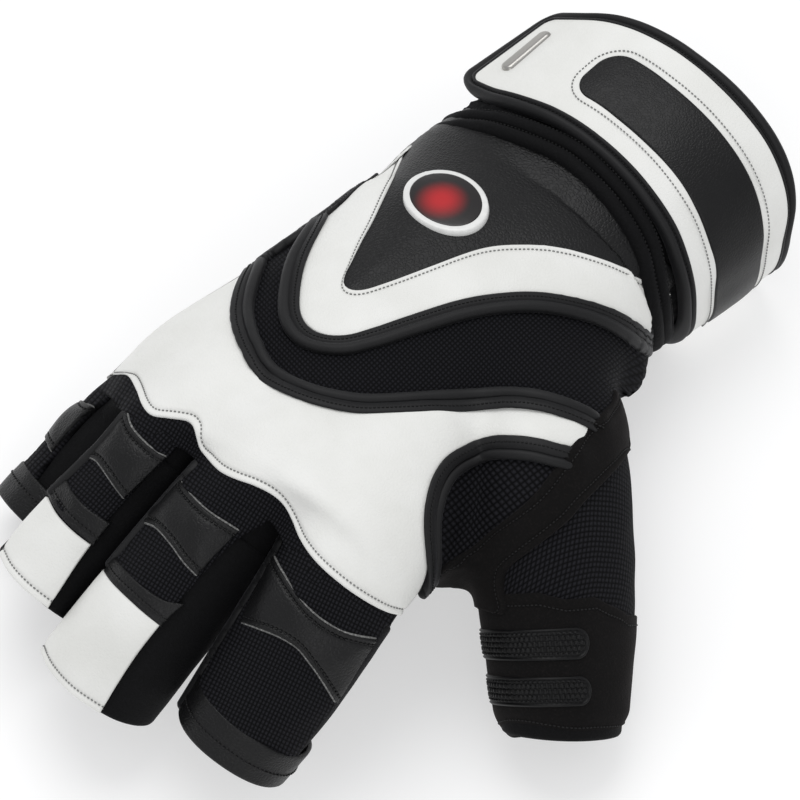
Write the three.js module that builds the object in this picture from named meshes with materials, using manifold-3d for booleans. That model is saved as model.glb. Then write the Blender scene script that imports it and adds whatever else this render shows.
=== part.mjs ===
// Weightlifting glove for the right hand, standing filled as it is worn: back of the hand up, wrist towards +Y,
// fingers towards -Y, thumb towards +X. Millimetres, +Z up, with the floor at z = 0.
import * as THREE from 'three';
import { mergeVertices } from 'three/addons/utils/BufferGeometryUtils.js';
import Module from 'manifold-3d';

const wasm = await Module();
wasm.setup();

// Sizes of the filled hand
const handLength = 200; // the run of the stations from fingers to wrist
const handBreadth = 90; // across the four knuckles
const handHeight = 60; // floor to the top of the knuckles
const palmBreadth = 80; // widest section of the hand body
const palmThickness = 46; // section of the hand body at the wrist end
const fingerWidth = 28;
const fingerThickness = 27;
const littleWidth = 22;
const littleThickness = 23;
const thumbWidth = 37;
const thumbThickness = 33;
const webWidth = 36;
const webThickness = 20;

// Wrist sleeve and strap. Angles go round the wrist in degrees, from the thumb side over the back of the hand.
const sleeveWidth = 65.2;
const sleeveHeight = 46.2;
const sleeveStart = 44.8; // where the sleeve meets the hand body, along Y
const sleeveLength = 35.5;
const strapStart = 51.7;
const strapWidth = 30.6;
const strapBackingThickness = 1.8;
const strapFaceThickness = 1.6;
const strapRimWidth = 3;
const strapRimThickness = 2.1;
const strapFreeEnd = 160;
const strapHiddenEnd = -130;
const strapFreeEndLift = 2.2;
const strapFreeEndLiftSpan = 26;
const insetWidth = 14.5;
const insetThickness = 0.5;
const insetStart = 112;
const insetEnd = -18;
const insetRoundSpan = 9;
const barLength = 14;
const barWidthAngle = 6;
const barAngle = 142;
const barThickness = 0.7;

// Thicknesses and widths of the layers
const fabricWall = 2;
const sleeveWall = 2.2;
const clearance = 0.3; // between pieces that touch
const leatherThickness = 1.2;
const stretchThickness = 0.9;
const paddedThickness = 1.9;
const bindingThickness = 2.6;
const bindingWidth = 4.3;
const suedeThickness = 1.4;
const knucklePadThickness = 2;
const pullTabThickness = 1.5;
const gripThickness = 1.2;
const badgeLength = 20;
const badgeBreadth = 16;
const badgeThickness = 1.3;
const badgeRimWidth = 1.6;
const badgeFieldThickness = 0.4;
const badgeTurn = -60; // degrees from across the hand
const badgeSides = 18;
const rollWidth = 3;
const rollThickness = 3.2;
const palmPadThickness = 2.4;

// Facets round each kind of tube, and steps along it
const bodySides = 24;
const bodySteps = 6;
const stallSides = 12;
const stallSteps = 6;
const sleeveSides = 30;
const openEnd = 4; // how far a hollow or a cut runs out past the piece that it goes through
const joinTolerance = 0.01; // edges shorter than this, left where two cuts meet, are closed up
const sameShare = 1e-6;
const patchAngleStep = 15;
const patchShareStep = 0.05;

// Stations along each tube: across, along and up are shares of the hand's breadth, length and height, wide and
// tall are shares of the tube's own width and thickness, and roll is in degrees towards the little finger.
const columns = ['across', 'along', 'up', 'wide', 'tall', 'roll'];
const wristAcross = 0.094;
const wristUp = 0.445;
const tubes = {
  body: {
    width: palmBreadth,
    thickness: palmThickness,
    squareness: 2.4,
    sides: bodySides,
    steps: bodySteps,
    stations: [
      [wristAcross, (sleeveStart - clearance) / handLength, wristUp, sleeveWidth / palmBreadth,
        sleeveHeight / palmThickness, 0],
      [wristAcross, 0.18, wristUp, 0.82, 1.0, 0],
      [0.096, 0.1, 0.525, 0.87, 1.0, -1],
      [0.083, 0.02, 0.57, 0.91, 0.99, -3],
      [0.072, -0.1, 0.633, 0.95, 0.89, -7],
      [0.083, -0.21, 0.683, 1.0, 0.78, -11],
      [0.1, -0.285, 0.683, 1.0, 0.7, -14],
    ],
  },
  index: {
    width: fingerWidth,
    thickness: fingerThickness,
    squareness: 2.2,
    sides: stallSides,
    steps: stallSteps,
    stations: [
      [0.33, -0.13, 0.7, 0.93, 0.96, 10],
      [0.39, -0.225, 0.75, 1.03, 1.04, 15],
      [0.447, -0.31, 0.667, 1.03, 1.03, 20],
      [0.463, -0.4, 0.45, 1.02, 1.01, 25],
      [0.472, -0.485, 0.217, 1.01, 0.98, 27],
    ],
  },
  middle: {
    width: fingerWidth,
    thickness: fingerThickness,
    squareness: 2.2,
    sides: stallSides,
    steps: stallSteps,
    stations: [
      [0.133, -0.13, 0.717, 0.93, 0.96, -10],
      [0.15, -0.24, 0.783, 0.93, 1.03, -12],
      [0.147, -0.335, 0.7, 0.9, 1.03, -15],
      [0.142, -0.445, 0.483, 0.99, 1.0, -16],
      [0.122, -0.53, 0.25, 1.0, 0.96, -16],
    ],
  },
  ring: {
    width: fingerWidth,
    thickness: fingerThickness,
    squareness: 2.2,
    sides: stallSides,
    steps: stallSteps,
    stations: [
      [-0.05, -0.13, 0.667, 0.8, 0.9, -12],
      [-0.083, -0.225, 0.717, 0.8, 0.95, -15],
      [-0.125, -0.315, 0.65, 0.8, 0.94, -18],
      [-0.147, -0.41, 0.433, 0.88, 0.92, -20],
      [-0.167, -0.48, 0.3, 0.89, 0.9, -20],
    ],
  },
  little: {
    width: littleWidth,
    thickness: littleThickness,
    squareness: 2.2,
    sides: stallSides,
    steps: stallSteps,
    stations: [
      [-0.15, -0.12, 0.55, 1.0, 1.0, -20],
      [-0.23, -0.205, 0.517, 1.0, 1.0, -25],
      [-0.285, -0.27, 0.417, 1.0, 1.0, -30],
      [-0.318, -0.343, 0.262, 1.0, 1.0, -35],
      [-0.333, -0.405, 0.158, 1.0, 0.98, -38],
    ],
  },
  thumb: {
    width: thumbWidth,
    thickness: thumbThickness,
    squareness: 2.2,
    sides: stallSides,
    steps: stallSteps,
    stations: [
      [0.222, 0.075, 0.533, 0.86, 0.91, 20],
      [0.489, 0.0, 0.667, 1.0, 1.03, 30],
      [0.667, -0.06, 0.617, 1.03, 1.0, 35],
      [0.844, -0.125, 0.417, 0.97, 0.91, 40],
      [1.017, -0.1975, 0.187, 0.76, 0.79, 45],
    ],
  },
  web: {
    width: webWidth,
    thickness: webThickness,
    squareness: 2.2,
    sides: stallSides,
    steps: 4,
    stations: [
      [0.244, -0.06, 0.633, 1.0, 1.2, 0],
      [0.422, -0.13, 0.625, 1.0, 0.9, 0],
      [0.578, -0.19, 0.583, 0.78, 0.6, 0],
    ],
  },
};

// The straight part of the wrist that the sleeve, the rolls and the strap lie on
function wristTube(start, length) {
  return {
    width: sleeveWidth,
    thickness: sleeveHeight,
    squareness: 2.3,
    sides: sleeveSides,
    steps: 1,
    stations: [
      [wristAcross, (start + length) / handLength, wristUp, 1, 1, 0],
      [wristAcross, start / handLength, wristUp, 1, 1, 0],
    ],
  };
}

// The pattern sheet: outlines are drawn on a square sheet as the glove is seen from the front of the thumb side,
// with both coordinates in percent of the sheet, right and down from its corner. The sheet is graded to the hand:
// its two directions across and along the hand follow the hand's breadth and length.
const sheetAcross = 1.975 * handBreadth;
const sheetAlong = 0.889 * handLength;
const sheetAzimuth = THREE.MathUtils.degToRad(45);
const sheetElevation = THREE.MathUtils.degToRad(60);
const sheetLift = 0.253; // how far up the sheet the back of the hand is drawn, as a share of it
const backHeight = 0.75 * handHeight;

const backPanelOutline = [
  [[13.1, 47.6], [15, 47], [16.6, 47.4], [17.8, 49.8], [19.5, 52.2], [23.5, 52.8], [24.8, 54], [26.6, 57.8],
    [29.4, 59.9], [33.8, 61.6], [35.5, 62.9], [37.8, 67.5], [40.6, 71.2], [45, 74.8], [49.2, 76.4]],
  [[49.2, 76.4], [51.5, 73.1], [52.4, 68.8], [52.5, 63.1], [54, 58.8], [56.9, 56.5], [62.5, 54.8], [71.5, 55.1]],
  [[71.5, 55.1], [72.5, 53.6]],
  [[72.5, 53.6], [68.8, 52.2], [62.5, 51.2], [55, 51.4], [46.2, 51.6], [40, 50.9], [35, 48.8], [30.6, 44.4],
    [29.6, 39.4], [31.2, 35.5], [33.2, 32.8]],
  [[33.2, 32.8], [24, 30]],
  [[24, 30], [9, 41]],
  [[9, 41], [13.1, 47.6]],
];
const bandOutline = [
  [[46.5, 22.2], [43.8, 25], [41.2, 29], [39, 33.8], [38, 37.5], [38.6, 40.8], [40.2, 41.8], [43.8, 41.9],
    [50, 40], [56.2, 38], [62.5, 36.8], [68.8, 36.6], [75, 38.1], [82, 42.5]],
  [[82, 42.5], [84, 36]],
  [[84, 36], [79.2, 34.5], [75, 32.8], [68.8, 31.1], [62.5, 31.1], [56.2, 32.9], [50, 35.1], [45.6, 36.8],
    [43.2, 36.2], [43.4, 34.5], [45.6, 30], [48.1, 25], [49.5, 22], [51.5, 18.6]],
  [[51.5, 18.6], [46.5, 12]],
  [[46.5, 12], [40, 18]],
  [[40, 18], [46.5, 22.2]],
];
const centreOutline = [
  [[79.2, 34.5], [75, 32.8], [68.8, 31.1], [62.5, 31.1], [56.2, 32.9], [50, 35.1], [45.6, 36.8], [43.2, 36.2],
    [43.4, 34.5], [45.6, 30], [48.1, 25], [49.5, 22], [51.5, 18.6]],
  [[51.5, 18.6], [52, 12]],
  [[52, 12], [70, 12], [88, 34]],
  [[88, 34], [79.2, 34.5]],
];
const backBindingPath = [[34, 30], [32.8, 34.2], [31.2, 37.5], [30.8, 40.8], [31.9, 44], [34.4, 47.4], [38.4, 49.4],
  [43.4, 50.4], [50, 50.2], [57.5, 49.8], [65, 49.7], [70, 50.8], [72.2, 51.8]];
const bandBindingPath = [[44, 23.6], [41.9, 26.5], [39.3, 30.2], [37.5, 33.5], [36.8, 37.5], [36.8, 40.2], [37.9, 42.2],
  [40, 43.2], [43.5, 43.5], [47.2, 42.5], [51.2, 41.1], [57.5, 39.1], [62.5, 38.2], [67.5, 38.2], [73.1, 39.1],
  [76.5, 40.2], [80, 42.5], [82.4, 45]];
const stretchPanelOutline = [
  backBindingPath,
  [backBindingPath.at(-1), [80, 53]],
  [[80, 53], bandBindingPath.at(-1)],
  bandBindingPath.toReversed(),
  [bandBindingPath[0], backBindingPath[0]],
];
const webBindingPath = [[52.6, 76], [53.4, 70], [53.5, 65.6], [53.9, 62.9], [54.8, 60.2], [56.2, 58.2], [58.8, 56.9],
  [62.2, 56.1], [66.2, 56.4], [69.6, 57.2]];
const webPatchOutline = [
  [[55, 71.2], [54.6, 67.5], [54.8, 65], [55.9, 61.8], [58.8, 59], [62.5, 57.9], [66.2, 57.9], [69.5, 58.5]],
  [[69.5, 58.5], [68, 64], [64, 67.4], [60.3, 70], [55, 71.2]],
];
const badgePlace = [56.9, 25.9];
const suedeStripOutline = [
  [[73.8, 52.5], [71.9, 54], [70.8, 56.1], [66.2, 62.1], [62.5, 65.4], [58.8, 68.4], [53.5, 71.5]],
  [[53.5, 71.5], [55, 76]],
  [[55, 76], [61, 73], [67.5, 68.8], [71.9, 63.8], [75, 61.2], [77.2, 58.1], [78.6, 53.5]],
  [[78.6, 53.5], [73.8, 52.5]],
];
// Pieces on the stalls, each between two angles round the stall (in degrees from its thumb side over its back) and
// two shares of its length, drawn in by waist at the middle of its width
const stallPatches = [
  { name: 'index_knuckle_pad', on: 'index', from: 28, to: 152, start: 0.5, end: 0.67, waist: 0.045, kind: 'pad' },
  { name: 'middle_knuckle_pad', on: 'middle', from: 42, to: 147, start: 0.48, end: 0.61, waist: 0.02, kind: 'pad' },
  { name: 'ring_knuckle_pad', on: 'ring', from: 40, to: 130, start: 0.48, end: 0.61, waist: 0.02, kind: 'pad' },
  { name: 'little_knuckle_pad', on: 'little', from: 70, to: 145, start: 0.58, end: 0.75, waist: 0.02, kind: 'pad' },
  { name: 'middle_pull_tab', on: 'middle', from: 38, to: 136, start: 0.73, end: 1, waist: 0, kind: 'tab' },
  { name: 'ring_pull_tab', on: 'ring', from: 34, to: 126, start: 0.75, end: 1, waist: 0, kind: 'tab' },
  { name: 'grip_upper', on: 'thumb', from: 106, to: 200, start: 0.755, end: 0.815, waist: 0, kind: 'grip' },
  { name: 'grip_lower', on: 'thumb', from: 106, to: 212, start: 0.875, end: 0.93, waist: 0, kind: 'grip' },
];
// Pads on the palm, drawn from above as shares of the hand's breadth and length
const palmOutline = [[-0.3, 0.2], [0.48, 0.2], [0.52, 0.05], [0.6, -0.08], [0.52, -0.2], [0.42, -0.262],
  [-0.24, -0.262], [-0.34, -0.15], [-0.32, 0.02]];
const palmPadOutlines = {
  palm_pad_heel: [[-0.16, 0.14], [0.02, 0.16], [0.02, -0.04], [-0.2, -0.04]],
  palm_pad_thumb: [[0.12, 0.15], [0.34, 0.12], [0.36, -0.02], [0.12, -0.04]],
  palm_pad_fingers: [[-0.22, -0.09], [0.38, -0.09], [0.38, -0.2], [-0.2, -0.2]],
};

// Materials
function material(colour, roughness, metalness = 0) {
  return new THREE.MeshStandardMaterial({ color: colour, roughness, metalness });
}
const finishes = {
  whiteLeather: material('#e8e8e6', 0.5),
  blackLeather: material('#2b2b2c', 0.45),
  binding: material('#2a2b2d', 0.6),
  stretch: material('#0d0d10', 0.95),
  suede: material('#121110', 1.0),
  pile: material('#3a3a3c', 1.0),
  silicone: material('#1a1a1b', 0.35),
  metal: material('#c9ccd0', 0.3, 1.0),
  badge: material('#b3202a', 0.4),
};

// A closed mesh as a solid for cutting and joining
function solidOf(geometry) {
  const bare = geometry.clone();
  for (const name of Object.keys(bare.attributes)) {
    if (name !== 'position') bare.deleteAttribute(name);
  }
  const merged = mergeVertices(bare, 1e-4);
  const triVerts = new Uint32Array(merged.index.array);
  const vertProperties = merged.attributes.position.array;
  return new wasm.Manifold(new wasm.Mesh({ numProp: 3, vertProperties, triVerts }));
}

function geometryOf(solid) {
  const made = solid.getMesh();
  const geometry = new THREE.BufferGeometry();
  geometry.setAttribute('position', new THREE.BufferAttribute(made.vertProperties, 3));
  geometry.setIndex(new THREE.BufferAttribute(made.triVerts, 1));
  return geometry;
}

function joined(solids) {
  return solids.reduce((sum, solid) => sum.add(solid));
}

// A closed skin over rings of points: every ring has the same count, and the first and last are capped flat.
function skinned(rings) {
  const count = rings[0].length;
  const points = rings.flat();
  const faces = [];
  for (let i = 0; i < rings.length - 1; i += 1) {
    for (let j = 0; j < count; j += 1) {
      const a = i * count + j;
      const b = i * count + ((j + 1) % count);
      faces.push(a, b, a + count, b, b + count, a + count);
    }
  }
  const last = (rings.length - 1) * count;
  for (let j = 1; j < count - 1; j += 1) {
    faces.push(0, j + 1, j);
    faces.push(last, last + j, last + j + 1);
  }
  const geometry = new THREE.BufferGeometry().setFromPoints(points);
  geometry.setIndex(faces);
  return geometry;
}

// One point of a superellipse section
function sectionPoint(width, thickness, squareness, angle) {
  const c = Math.cos(angle);
  const s = Math.sin(angle);
  return [
    (width / 2) * Math.sign(c) * Math.abs(c) ** (2 / squareness),
    (thickness / 2) * Math.sign(s) * Math.abs(s) ** (2 / squareness),
  ];
}

// The tube's centre line and its sizes as two smooth curves through the stations
function curvesOf(tube) {
  const rows = tube.stations.map((row) => Object.fromEntries(columns.map((name, k) => [name, row[k]])));
  const centres = rows.map(
    (row) => new THREE.Vector3(row.across * handBreadth, row.along * handLength, row.up * handHeight),
  );
  const sizes = rows.map((row) => new THREE.Vector3(row.wide * tube.width, row.tall * tube.thickness, row.roll));
  return {
    centre: new THREE.CatmullRomCurve3(centres, false, 'catmullrom', 0.5),
    size: new THREE.CatmullRomCurve3(sizes, false, 'catmullrom', 0.5),
  };
}

// The section's own frame at share t of the tube: along it, out of its back and towards the thumb side
function frameAt(tube, t) {
  const curves = curvesOf(tube);
  const size = curves.size.getPoint(t);
  const roll = THREE.MathUtils.degToRad(size.z);
  const along = curves.centre.getTangent(t);
  const up = new THREE.Vector3(0, 0, 1);
  const flatBack = up.clone().addScaledVector(along, -up.dot(along)).normalize();
  const flatSide = new THREE.Vector3().crossVectors(flatBack, along);
  const back = flatBack.clone().multiplyScalar(Math.cos(roll)).addScaledVector(flatSide, Math.sin(roll));
  const side = flatSide.clone().multiplyScalar(Math.cos(roll)).addScaledVector(flatBack, -Math.sin(roll));
  return { centre: curves.centre.getPoint(t), width: size.x, thickness: size.y, along, back, side };
}

function ringAt(tube, t, grow, shift = 0) {
  const frame = frameAt(tube, t);
  const centre = frame.centre.clone().addScaledVector(frame.along, shift);
  const ring = [];
  for (let k = 0; k < tube.sides; k += 1) {
    const angle = (2 * Math.PI * k) / tube.sides;
    const [u, v] = sectionPoint(frame.width + 2 * grow, frame.thickness + 2 * grow, tube.squareness, angle);
    ring.push(centre.clone().addScaledVector(frame.side, u).addScaledVector(frame.back, v));
  }
  return ring;
}

// The tube from share start to share end, grown outwards, with its two ends moved out by before and after
function tubeSolid(tube, { grow = 0, start = 0, end = 1, before = 0, after = 0 } = {}) {
  const shares = [start];
  for (let i = 1; i < tube.steps; i += 1) {
    const share = i / tube.steps;
    if (share > start + sameShare && share < end - sameShare) shares.push(share);
  }
  shares.push(end);
  const rings = shares.map((share) => ringAt(tube, share, grow));
  if (before > 0) rings.unshift(ringAt(tube, start, grow, -before));
  if (after > 0) rings.push(ringAt(tube, end, grow, after));
  return solidOf(skinned(rings));
}

// A point of the sheet, laid on the level of the back of the hand
function sheetPoint([right, down]) {
  const p = (right - 50) / 100;
  const q = (50 - down) / 100;
  const depth = (q - sheetLift * Math.cos(sheetElevation)) / Math.sin(sheetElevation);
  const x = sheetAcross * (p * Math.cos(sheetAzimuth) - depth * Math.sin(sheetAzimuth));
  const y = sheetAlong * (p * Math.sin(sheetAzimuth) + depth * Math.cos(sheetAzimuth));
  return new THREE.Vector2(x, y);
}

// Runs of points, each a smooth curve where it has more than two, joined at sharp corners
function outlineOf(runs) {
  const points = [];
  for (const run of runs) {
    const corners = run.map(sheetPoint);
    if (corners.length === 2) {
      points.push(corners[0]);
    } else {
      const curve = new THREE.SplineCurve(corners);
      const steps = corners.length - 1;
      for (let i = 0; i < steps; i += 1) points.push(curve.getPoint(i / steps));
    }
  }
  return points;
}

// A strip of one width along a smooth path of the sheet
function stripOf(path, width) {
  const curve = new THREE.SplineCurve(path.map(sheetPoint));
  const steps = path.length - 1;
  const left = [];
  const right = [];
  for (let i = 0; i <= steps; i += 1) {
    const point = curve.getPoint(i / steps);
    const tangent = curve.getTangent(i / steps);
    const across = new THREE.Vector2(-tangent.y, tangent.x).multiplyScalar(width / 2);
    left.push(point.clone().add(across));
    right.unshift(point.clone().sub(across));
  }
  return [...left, ...right];
}

// Points drawn from above, as shares of the hand's breadth and length
function planPoints(shares) {
  return shares.map(([across, along]) => new THREE.Vector2(across * handBreadth, along * handLength));
}

// A flat outline swept between two heights, leaning as the sheet is seen
function leaningPrism(points, bottom, top) {
  const geometry = new THREE.ExtrudeGeometry(new THREE.Shape(points), { depth: top - bottom, bevelEnabled: false });
  const lean = 1 / Math.tan(sheetElevation);
  const kx = lean * Math.sin(sheetAzimuth);
  const ky = -lean * Math.cos(sheetAzimuth);
  const low = bottom - backHeight;
  geometry.applyMatrix4(
    new THREE.Matrix4().set(1, 0, kx, kx * low, 0, 1, ky, ky * low, 0, 0, 1, bottom, 0, 0, 0, 1),
  );
  return solidOf(geometry);
}

// A flat outline swept straight up between two heights
function uprightPrism(points, bottom, top) {
  const geometry = new THREE.ExtrudeGeometry(new THREE.Shape(points), { depth: top - bottom, bevelEnabled: false });
  geometry.translate(0, 0, bottom);
  return solidOf(geometry);
}

const top = 1.4 * handHeight;
const sideSeam = 0.46 * handHeight; // height where the back panels meet the palm leather
const knuckleSeam = 0.64 * handHeight; // lower edge of the back panel between the fingers
const webPatchSeam = 0.67 * handHeight;
const webSeam = 0.54 * handHeight; // lower edge of the pieces on the thin web by the thumb
function backPrism(runs, bottom = sideSeam) {
  return leaningPrism(outlineOf(runs), bottom, top);
}
function stripPrism(path, width, bottom = sideSeam) {
  return leaningPrism(stripOf(path, width), bottom, top);
}

// The same prism with a clearance beyond its curved edges, to cut its neighbours with
function clearOf(runs, bottom) {
  const edges = runs.filter((run) => run.length > 2).map((run) => stripPrism(run, 2 * clearance, bottom));
  return joined([backPrism(runs, bottom), ...edges]);
}

// The filled form grown outwards, of the tubes that a piece lies on: a layer is what lies between two of these
function grownForm(names, grow, ends) {
  return joined(names.map((name) => tubeSolid(tubes[name], { grow, ...ends })));
}
function layer(names, prism, low, thickness) {
  return grownForm(names, low + thickness).intersect(prism).subtract(grownForm(names, low, { before: openEnd }));
}

// A thin closed slab between two grids of points that lie one above the other
function slab(lowRows, highRows) {
  const rowLength = lowRows[0].length;
  const points = [...lowRows.flat(), ...highRows.flat()];
  const high = lowRows.length * rowLength;
  const rim = [];
  for (let j = 0; j < rowLength; j += 1) rim.push(j);
  for (let i = 1; i < lowRows.length; i += 1) rim.push((i + 1) * rowLength - 1);
  for (let j = rowLength - 2; j >= 0; j -= 1) rim.push((lowRows.length - 1) * rowLength + j);
  for (let i = lowRows.length - 2; i > 0; i -= 1) rim.push(i * rowLength);
  const faces = [];
  for (let i = 0; i < lowRows.length - 1; i += 1) {
    for (let j = 0; j < rowLength - 1; j += 1) {
      const a = i * rowLength + j;
      const [b, c, d] = [a + 1, a + rowLength + 1, a + rowLength];
      faces.push(a, b, c, a, c, d);
      faces.push(high + a, high + c, high + b, high + a, high + d, high + c);
    }
  }
  rim.forEach((a, k) => {
    const b = rim[(k + 1) % rim.length];
    faces.push(a, high + a, high + b, a, high + b, b);
  });
  const geometry = new THREE.BufferGeometry().setFromPoints(points);
  geometry.setIndex(faces);
  return solidOf(geometry);
}

// A patch on a tube between two angles and two shares, drawn in by waist at the middle of its width
function tubePatch(name, { from, to, start, end, waist }, low, thickness) {
  const tube = tubes[name];
  const rounds = Math.ceil((to - from) / patchAngleStep);
  const runs = Math.max(2, Math.ceil((end - start) / patchShareStep));
  function gridAt(grow) {
    const rows = [];
    for (let i = 0; i <= rounds; i += 1) {
      const angle = THREE.MathUtils.degToRad(from + ((to - from) * i) / rounds);
      const across = (2 * i) / rounds - 1;
      const drawnIn = waist * (1 - across * across);
      const row = [];
      for (let j = 0; j <= runs; j += 1) {
        const share = THREE.MathUtils.lerp(start + drawnIn, end - drawnIn, j / runs);
        const frame = frameAt(tube, share);
        const [u, v] = sectionPoint(frame.width + 2 * grow, frame.thickness + 2 * grow, tube.squareness, angle);
        row.push(frame.centre.addScaledVector(frame.side, u).addScaledVector(frame.back, v));
      }
      rows.push(row);
    }
    return rows;
  }
  return slab(gridAt(low), gridAt(low + thickness));
}

// The glove: each mesh is named for its piece
const glove = new THREE.Group();
const groundReach = 4 * handLength;
const floorCut = solidOf(
  new THREE.BoxGeometry(groundReach, groundReach, handHeight).translate(0, 0, -handHeight / 2),
);
function addPiece(name, solid, finish) {
  const mesh = new THREE.Mesh(geometryOf(solid.subtract(floorCut).setTolerance(joinTolerance)), finish);
  mesh.name = name;
  glove.add(mesh);
}

// The hollow of the hand, open at the wrist and at the end of each stall
const stallStart = 0.5; // share of the tube where the stall leaves the hand body
const stalls = ['index', 'middle', 'ring', 'little', 'thumb'];
function hollowOf(name) {
  const ends = name === 'body' ? { before: openEnd } : {};
  if (stalls.includes(name)) ends.after = openEnd;
  else ends.end = 1 - fabricWall / curvesOf(tubes.body).centre.getLength();
  return tubeSolid(tubes[name], { grow: -fabricWall, ...ends });
}
function stallSolid(name, grow, before = 0) {
  return tubeSolid(tubes[name], { grow, start: stallStart, before });
}
const hollow = joined(['body', ...stalls].map(hollowOf));
const stallRoots = joined(stalls.map((name) => tubeSolid(tubes[name], { end: stallStart })));
const stallCuts = joined(stalls.map((name) => stallSolid(name, clearance, clearance)));
const handForm = tubeSolid(tubes.body).add(tubeSolid(tubes.web)).add(stallRoots);
const handShell = handForm.subtract(hollow).subtract(stallCuts);

// The side seam follows the hand's centre line: the palm leather is below it and the back's fabric above
function belowSeam(shift) {
  const line = tubes.body.stations.map(([, along, up]) => [along * handLength, up * handHeight + shift]);
  const [wristEnd, fingerEnd] = [line[0], line.at(-1)];
  const points = [
    [2 * handLength, -handHeight], [2 * handLength, wristEnd[1]], ...line, [-handLength, fingerEnd[1]],
    [-handLength, -handHeight],
  ];
  const outline = new THREE.Shape(points.map(([y, z]) => new THREE.Vector2(y, z)));
  const geometry = new THREE.ExtrudeGeometry(outline, { depth: groundReach, bevelEnabled: false });
  const turn = new THREE.Matrix4().set(0, 0, 1, -groundReach / 2, 1, 0, 0, 0, 0, 1, 0, 0, 0, 0, 0, 1);
  return solidOf(geometry.applyMatrix4(turn));
}
addPiece('hand_palm', handShell.intersect(belowSeam(-clearance / 2)), finishes.suede);
addPiece('hand_back', handShell.subtract(belowSeam(clearance / 2)), finishes.stretch);

// Finger and thumb stalls: each finger keeps clear of its neighbour on the thumb side
stalls.forEach((name, k) => {
  let stall = stallSolid(name, 0).subtract(
    tubeSolid(tubes[name], { grow: -fabricWall, start: stallStart, before: openEnd, after: openEnd }),
  );
  if (k > 0 && name !== 'thumb') stall = stall.subtract(stallSolid(stalls[k - 1], clearance, clearance));
  addPiece(`${name}_stall`, stall, finishes.stretch);
});

// Panels on the back, each cut clear of the bindings and the suede strip that edge it
const wrist = ['body', 'thumb'];
const whole = Object.keys(tubes);
const bindingGap = bindingWidth + 2 * clearance;
const backBindingCut = stripPrism(backBindingPath, bindingGap);
const bandBindingCut = stripPrism(bandBindingPath, bindingGap);
const webBindingCut = stripPrism(webBindingPath, bindingGap);
const suedeShape = backPrism(suedeStripOutline, webSeam).subtract(webBindingCut);
const suedeCut = clearOf(suedeStripOutline, sideSeam);
const [crotchLeft, crotchRight, crotchEnd] = [-0.17, 0.7, -0.24];
const crotchCut = uprightPrism(
  planPoints([[crotchLeft, crotchEnd - 1], [crotchRight, crotchEnd - 1], [crotchRight, crotchEnd],
    [crotchLeft, crotchEnd]]), 0, knuckleSeam,
);
const panels = [
  { name: 'suede_strip', on: ['body', 'thumb', 'web'], shape: suedeShape, thickness: suedeThickness, finish: 'suede' },
  {
    name: 'back_panel',
    on: whole,
    shape: backPrism(backPanelOutline),
    cuts: [backBindingCut, webBindingCut, suedeCut, crotchCut],
    thickness: leatherThickness,
    finish: 'whiteLeather',
  },
  {
    name: 'web_patch',
    on: ['body', 'thumb', 'web'],
    shape: backPrism(webPatchOutline, webPatchSeam),
    cuts: [webBindingCut, suedeCut],
    thickness: stretchThickness,
    finish: 'stretch',
  },
  {
    name: 'stretch_panel',
    on: wrist,
    shape: backPrism(stretchPanelOutline),
    cuts: [backBindingCut, bandBindingCut, suedeCut],
    thickness: stretchThickness,
    finish: 'stretch',
  },
  {
    name: 'wrist_band',
    on: wrist,
    shape: backPrism(bandOutline),
    cuts: [bandBindingCut],
    thickness: leatherThickness,
    finish: 'whiteLeather',
  },
  {
    name: 'wrist_centre',
    on: wrist,
    shape: backPrism(centreOutline),
    cuts: [clearOf(bandOutline, sideSeam)],
    thickness: paddedThickness,
    finish: 'blackLeather',
  },
  {
    name: 'back_binding',
    on: wrist,
    shape: stripPrism(backBindingPath, bindingWidth),
    cuts: [suedeCut],
    thickness: bindingThickness,
    finish: 'binding',
  },
  {
    name: 'band_binding',
    on: wrist,
    shape: stripPrism(bandBindingPath, bindingWidth),
    thickness: bindingThickness,
    finish: 'binding',
  },
  {
    name: 'web_binding',
    on: ['body', 'index', 'thumb', 'web'],
    shape: stripPrism(webBindingPath, bindingWidth, webSeam),
    thickness: bindingThickness,
    finish: 'binding',
  },
];
for (const panel of panels) {
  const shape = (panel.cuts ?? []).reduce((rest, cut) => rest.subtract(cut), panel.shape);
  addPiece(panel.name, layer(panel.on, shape, clearance, panel.thickness), finishes[panel.finish]);
}

// Badge: an oval rubber patch with a raised field
const badgeCentre = sheetPoint(badgePlace);
function ovalOf(length, breadth) {
  const oval = new THREE.EllipseCurve(0, 0, length / 2, breadth / 2, 0, 2 * Math.PI);
  const turn = THREE.MathUtils.degToRad(badgeTurn);
  const points = oval.getPoints(badgeSides).slice(0, badgeSides);
  return points.map((point) => point.rotateAround(new THREE.Vector2(), turn).add(badgeCentre));
}
const badgeLow = 2 * clearance + paddedThickness;
const badgePrism = leaningPrism(ovalOf(badgeLength, badgeBreadth), sideSeam, top);
addPiece('badge_rim', layer(wrist, badgePrism, badgeLow, badgeThickness), finishes.whiteLeather);
const fieldPrism = leaningPrism(
  ovalOf(badgeLength - 2 * badgeRimWidth, badgeBreadth - 2 * badgeRimWidth), sideSeam, top,
);
const fieldLow = badgeLow + badgeThickness + clearance;
addPiece('badge_field', layer(wrist, fieldPrism, fieldLow, badgeFieldThickness), finishes.badge);

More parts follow.
